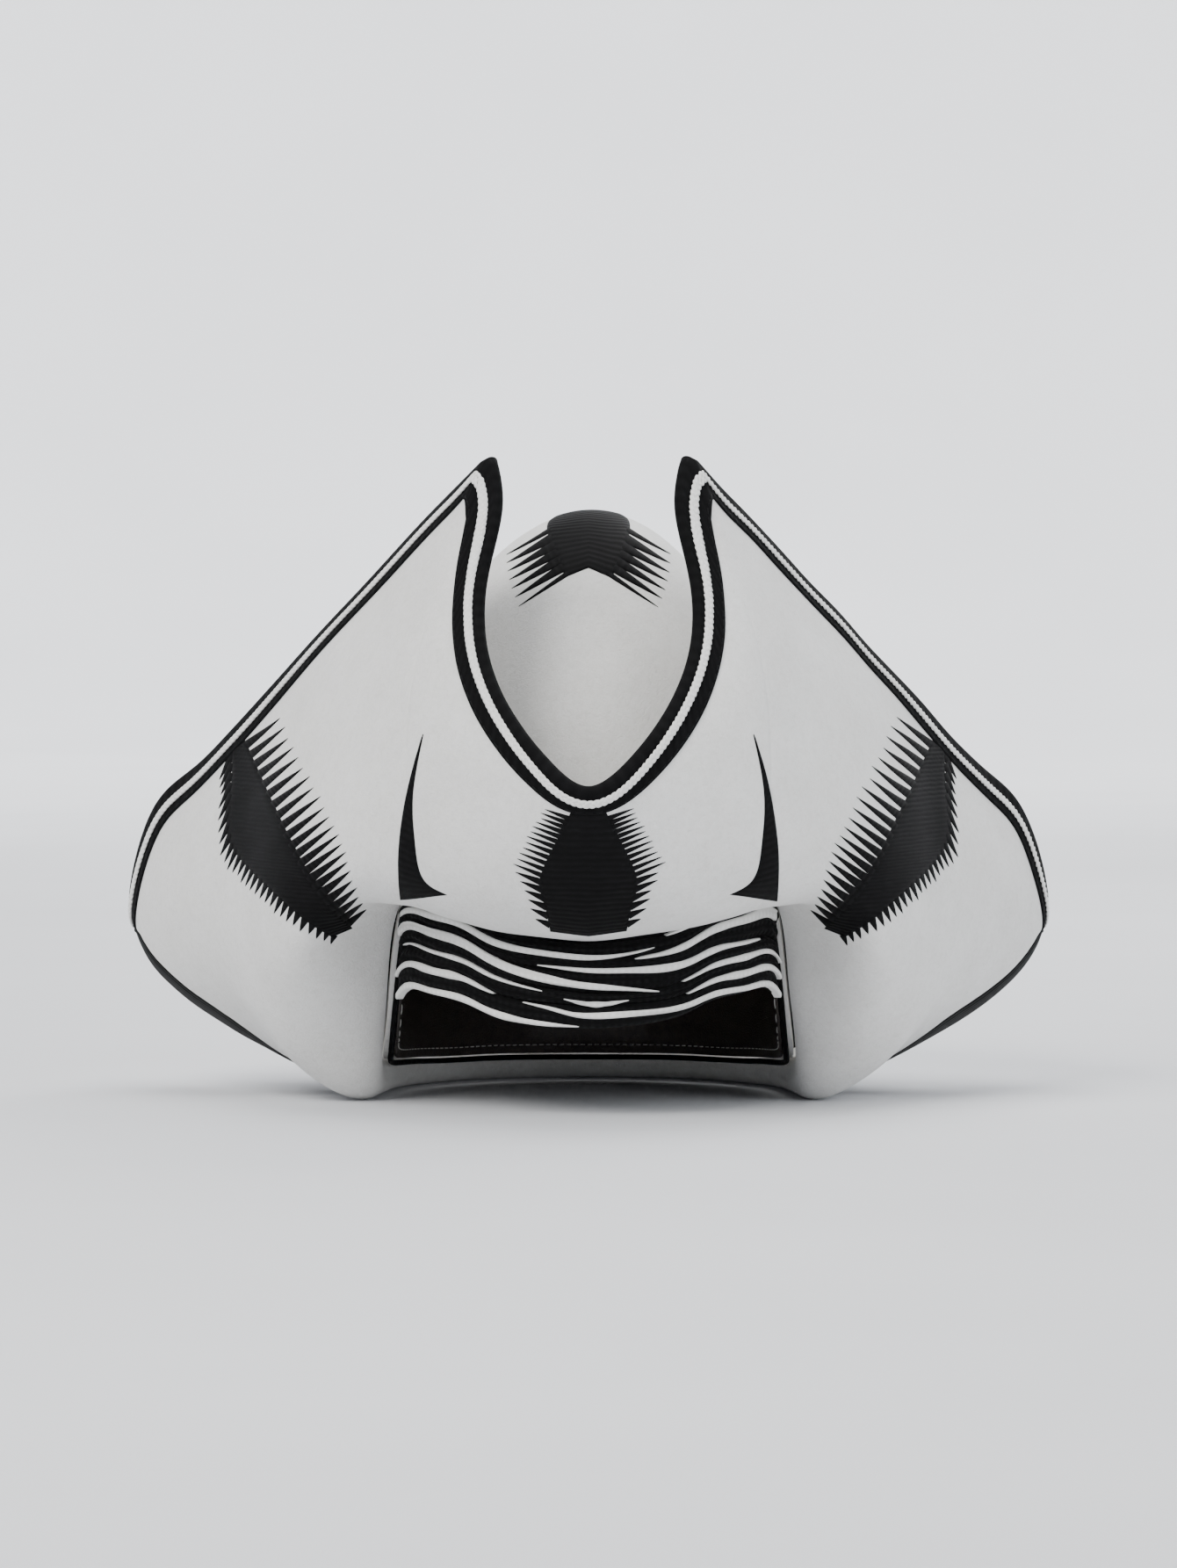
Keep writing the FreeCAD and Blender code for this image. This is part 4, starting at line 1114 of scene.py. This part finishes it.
def scarf_rise(angles, share):
    """How far the scarf's face stands off the crown: rounded folds with finer creases along them."""
    lines = np.stack([line(angles) + 0 * share for line in FOLD_LINES])
    turn = np.clip((share[None] > lines[1:-1]).sum(0), 0, 4)
    low = np.take_along_axis(lines, turn[None], 0)[0]
    high = np.take_along_axis(lines, turn[None] + 1, 0)[0]
    u = np.clip((share - low) / np.maximum(high - low, 1e-6), 0, 1)
    swell = (1 - np.abs(2 * u - 1) ** 2.6) ** 0.55
    fullness = 2.9 + 0.5 * np.sin(angles / 13 + turn * 2.1)
    drift = 0.5 * np.sin(angles / 19 + turn) + angles / 75
    creases = 0.34 * np.sin(2 * math.pi * (2.6 * u + drift)) * swell
    nicks = 0.10 * np.sin(angles * 1.1 + 7 * u + turn * 1.7) * swell
    ends = np.clip((SCARF_REACH - np.abs(angles)) / 3, 0, 1) ** 0.5
    return 1.3 + (fullness * swell + creases + nicks) * (0.35 + 0.65 * ends)


def scarf_points(angles, share, standoff):
    low, high = scarf_low(angles), scarf_top(angles)
    return on_head(angles, standoff, low + (high - low) * share)


scarf_angles = np.linspace(-SCARF_REACH, SCARF_REACH, 221)
shape = Shape()
backing_share = np.linspace(0.03, 1.16, 20)[:, None] + 0 * scarf_angles
backing_angles = np.broadcast_to(scarf_angles, backing_share.shape)
shape.slab(*(scarf_points(backing_angles, backing_share, standoff) for standoff in (0.9, 0.1)))
backing = shape.make("scarf_backing_cloth", SCARF, "scarf_cloth", ("scarf_backing",), crease=60)

for turn in range(5):
    u = np.linspace(0.012, 0.988, 27)[:, None]
    low, high = FOLD_LINES[turn](scarf_angles), FOLD_LINES[turn + 1](scarf_angles)
    share = low[None] + (high - low)[None] * u
    angles = np.broadcast_to(scarf_angles, share.shape)
    shape = Shape()
    shape.slab(scarf_points(angles, share, scarf_rise(angles, share)), scarf_points(angles, share, 1.0))
    number = turn + 1
    fold = shape.make("scarf_fold_%d" % number, SCARF, "scarf_cloth",
                      ("scarf_turn_%d" % number,), crease=75)


HIGHLIGHT_SEAT = 3.9


def painted_highlight_strip(shape, points, widths):
    """A painted highlight on a fold: a low white strip with these widths at its start, middle and end."""
    points = np.array(points, float)
    t = np.linspace(0, 1, 61)
    path = space_curve(np.linspace(0, 1, len(points)), points)(t)
    angles = np.degrees(np.arcsin(np.clip(path[:, 0] / SCARF_RADIUS, -0.881, 0.881)))
    share = scarf_share(path[:, 0], path[:, 1])
    start, middle, end = widths
    near, far = np.clip(t / 0.45, 0, 1), np.clip((1 - t) / 0.45, 0, 1)
    width = np.where(t < 0.5, start + (middle - start) * near ** 0.7, end + (middle - end) * far ** 0.7)
    width = width * (1 + 0.07 * np.sin(t * 23 + points[0, 0]))
    f = np.linspace(-0.5, 0.5, 9)[:, None]
    shares = share[None, :] + f * (width / 36.0)[None, :]
    angles = np.broadcast_to(angles, shares.shape)
    level = np.maximum(scarf_rise(angles, shares), HIGHLIGHT_SEAT)
    dome = 0.25 + 0.55 * np.sqrt(np.clip(1 - (2 * f) ** 2, 0, 1)) * np.minimum(1, width / 1.5)[None, :]
    shape.slab(scarf_points(angles, shares, level + dome), scarf_points(angles, shares, 1.2 + 0 * shares))


# Painted highlights on the scarf's folds, by fold: front-view points of each strip and its widths at
# start, middle and end
HIGHLIGHT_STRIPS = {
    4: [([(-78, 84.6), (-58, 79), (-38, 73.8), (1, 69.7), (27, 73.2)], (2.6, 3.0, 0.3)),
        ([(19, 68.2), (33, 70.3), (47, 73.8), (62, 78.5), (78, 84)], (0.3, 3.2, 4.6)),
        ([(32, 78.6), (48, 82.5), (63, 86.2)], (0.4, 2.0, 0.5))],
    3: [([(-79, 78.2), (-55, 70), (-21, 59.4), (4, 55.2), (29, 51.6)], (3.6, 3.6, 0.4)),
        ([(-21, 65), (7.5, 63), (36, 63), (54, 66), (71, 70)], (0.4, 3.2, 0.6))],
    2: [([(-77, 69.4), (-60, 62.6), (-43.5, 58), (-19, 52.4)], (0.6, 2.0, 0.4)),
        ([(39, 55), (55, 58.8), (70, 63.4), (81, 67)], (0.5, 2.8, 0.8))],
    1: [([(-81, 61.5), (-60.5, 54), (-39, 49)], (2.2, 3.2, 0.4)),
        ([(41, 48.4), (55, 51.5), (70, 55.8), (81, 60.5)], (0.4, 3.0, 2.2)),
        ([(-10, 49), (3, 46.6), (16.5, 48)], (0.3, 2.4, 0.3)),
        ([(-80, 51), (-55, 42.9), (-38, 39.4), (-21, 36.6), (-4, 35.6)], (2.6, 2.8, 0.4)),
        ([(-27, 46.5), (-12, 43), (2, 41), (36, 42.5), (60, 46), (80, 51.5)], (0.4, 2.6, 2.4))],
}
# Each fold's white strips are painted highlight
for number, strips in HIGHLIGHT_STRIPS.items():
    shape = Shape()
    for points, widths in strips:
        painted_highlight_strip(shape, points, widths)
    shape.make("scarf_white_edge_%d" % number, HIGHLIGHT_CLOTH, "scarf_hem_cloth",
               ("scarf_hem_%d" % number,), crease=75)

# --- layers that stay inside

for node, material in (("brim_buckram", BUCKRAM), ("crown_buckram", BUCKRAM), ("brim_wire", STEEL)):
    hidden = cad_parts[node]
    hidden.data.materials.clear()
    hidden.data.materials.append(material)

# --- stage, light and camera


def stage_floor():
    """A round pale floor that curves up into a low wall, well outside the camera's circle."""
    reach, bend, top, sides = 6.5, 1.5, 3.5, 96
    profile = [(0.0, 0.0), (0.5, 0.0), (reach - bend, 0.0)]
    for turn in np.radians(np.linspace(0, 90, 13)):
        profile.append((reach - bend + bend * math.sin(turn), bend - bend * math.cos(turn)))
    profile.append((reach, top))
    turn = np.linspace(0, 2 * math.pi, sides, endpoint=False)
    grid = np.stack([np.stack([r * np.cos(turn), r * np.sin(turn), z + 0 * turn], -1)
                     for r, z in profile])
    index = quads(len(profile), sides, 0, wrap_columns=True)[0]
    mesh = bpy.data.meshes.new("backdrop")
    mesh.from_pydata(grid.reshape(-1, 3).tolist(), [], index.tolist())
    smooth(mesh, 1e-5)
    n = Nodes("backdrop_paper", (0.72, 0.73, 0.75), 0.9)
    n.colour(n.mix(n.ramp(n.noise(3), 0.3, 0.7, 0.0, 1.0), (0.70, 0.71, 0.73), (0.73, 0.74, 0.76)))
    place_object("backdrop", mesh, n.material)


def area_light(name, place, target, power, width, colour=(1, 1, 1)):
    light = bpy.data.lights.new(name, "AREA")
    light.energy, light.size, light.color = power, width, colour
    lamp = bpy.data.objects.new(name, light)
    bpy.context.scene.collection.objects.link(lamp)
    aim(lamp, place, target)


def aim(item, place, target):
    """Puts item at place, looking at target."""
    item.location = place
    item.rotation_euler = (Vector(target) - Vector(place)).to_track_quat("-Z", "Y").to_euler()


stage_floor()
CENTRE = (0.0, -0.01, 0.134)
area_light("key", (-1.1, -1.6, 1.7), CENTRE, 56, 1.2, (1.0, 0.985, 0.96))
area_light("fill", (1.7, -1.3, 0.9), CENTRE, 24, 1.6, (0.95, 0.975, 1.0))
area_light("top", (0.1, 0.3, 2.2), CENTRE, 28, 1.6)
area_light("back", (0.8, 1.4, 1.3), CENTRE, 14, 1.0)
area_light("backdrop_left", (-2.2, 3.3, 3.2), (-1.0, 6.4, 0.6), 210, 2.0)
area_light("backdrop_right", (2.2, 3.3, 3.2), (1.0, 6.4, 0.6), 210, 2.0)

world = bpy.data.worlds.new("studio")
world.use_nodes = True
world.node_tree.nodes["Background"].inputs["Color"].default_value = (0.93, 0.95, 1.0, 1)
world.node_tree.nodes["Background"].inputs["Strength"].default_value = 0.55
bpy.context.scene.world = world

DISTANCE, ELEVATION = 3.2, math.radians(2.0)
FRAME_WIDTH = 0.398 / 0.80
camera_data = bpy.data.cameras.new("camera")
camera_data.sensor_fit = "HORIZONTAL"
camera_data.sensor_width = 36.0
camera_data.lens = 36.0 * DISTANCE / FRAME_WIDTH
camera_data.clip_end = 60.0
camera = bpy.data.objects.new("camera", camera_data)
bpy.context.scene.collection.objects.link(camera)
back, rise = DISTANCE * math.cos(ELEVATION), DISTANCE * math.sin(ELEVATION)
aim(camera, (0.0, CENTRE[1] - back, CENTRE[2] + rise), CENTRE)
bpy.context.scene.camera = camera
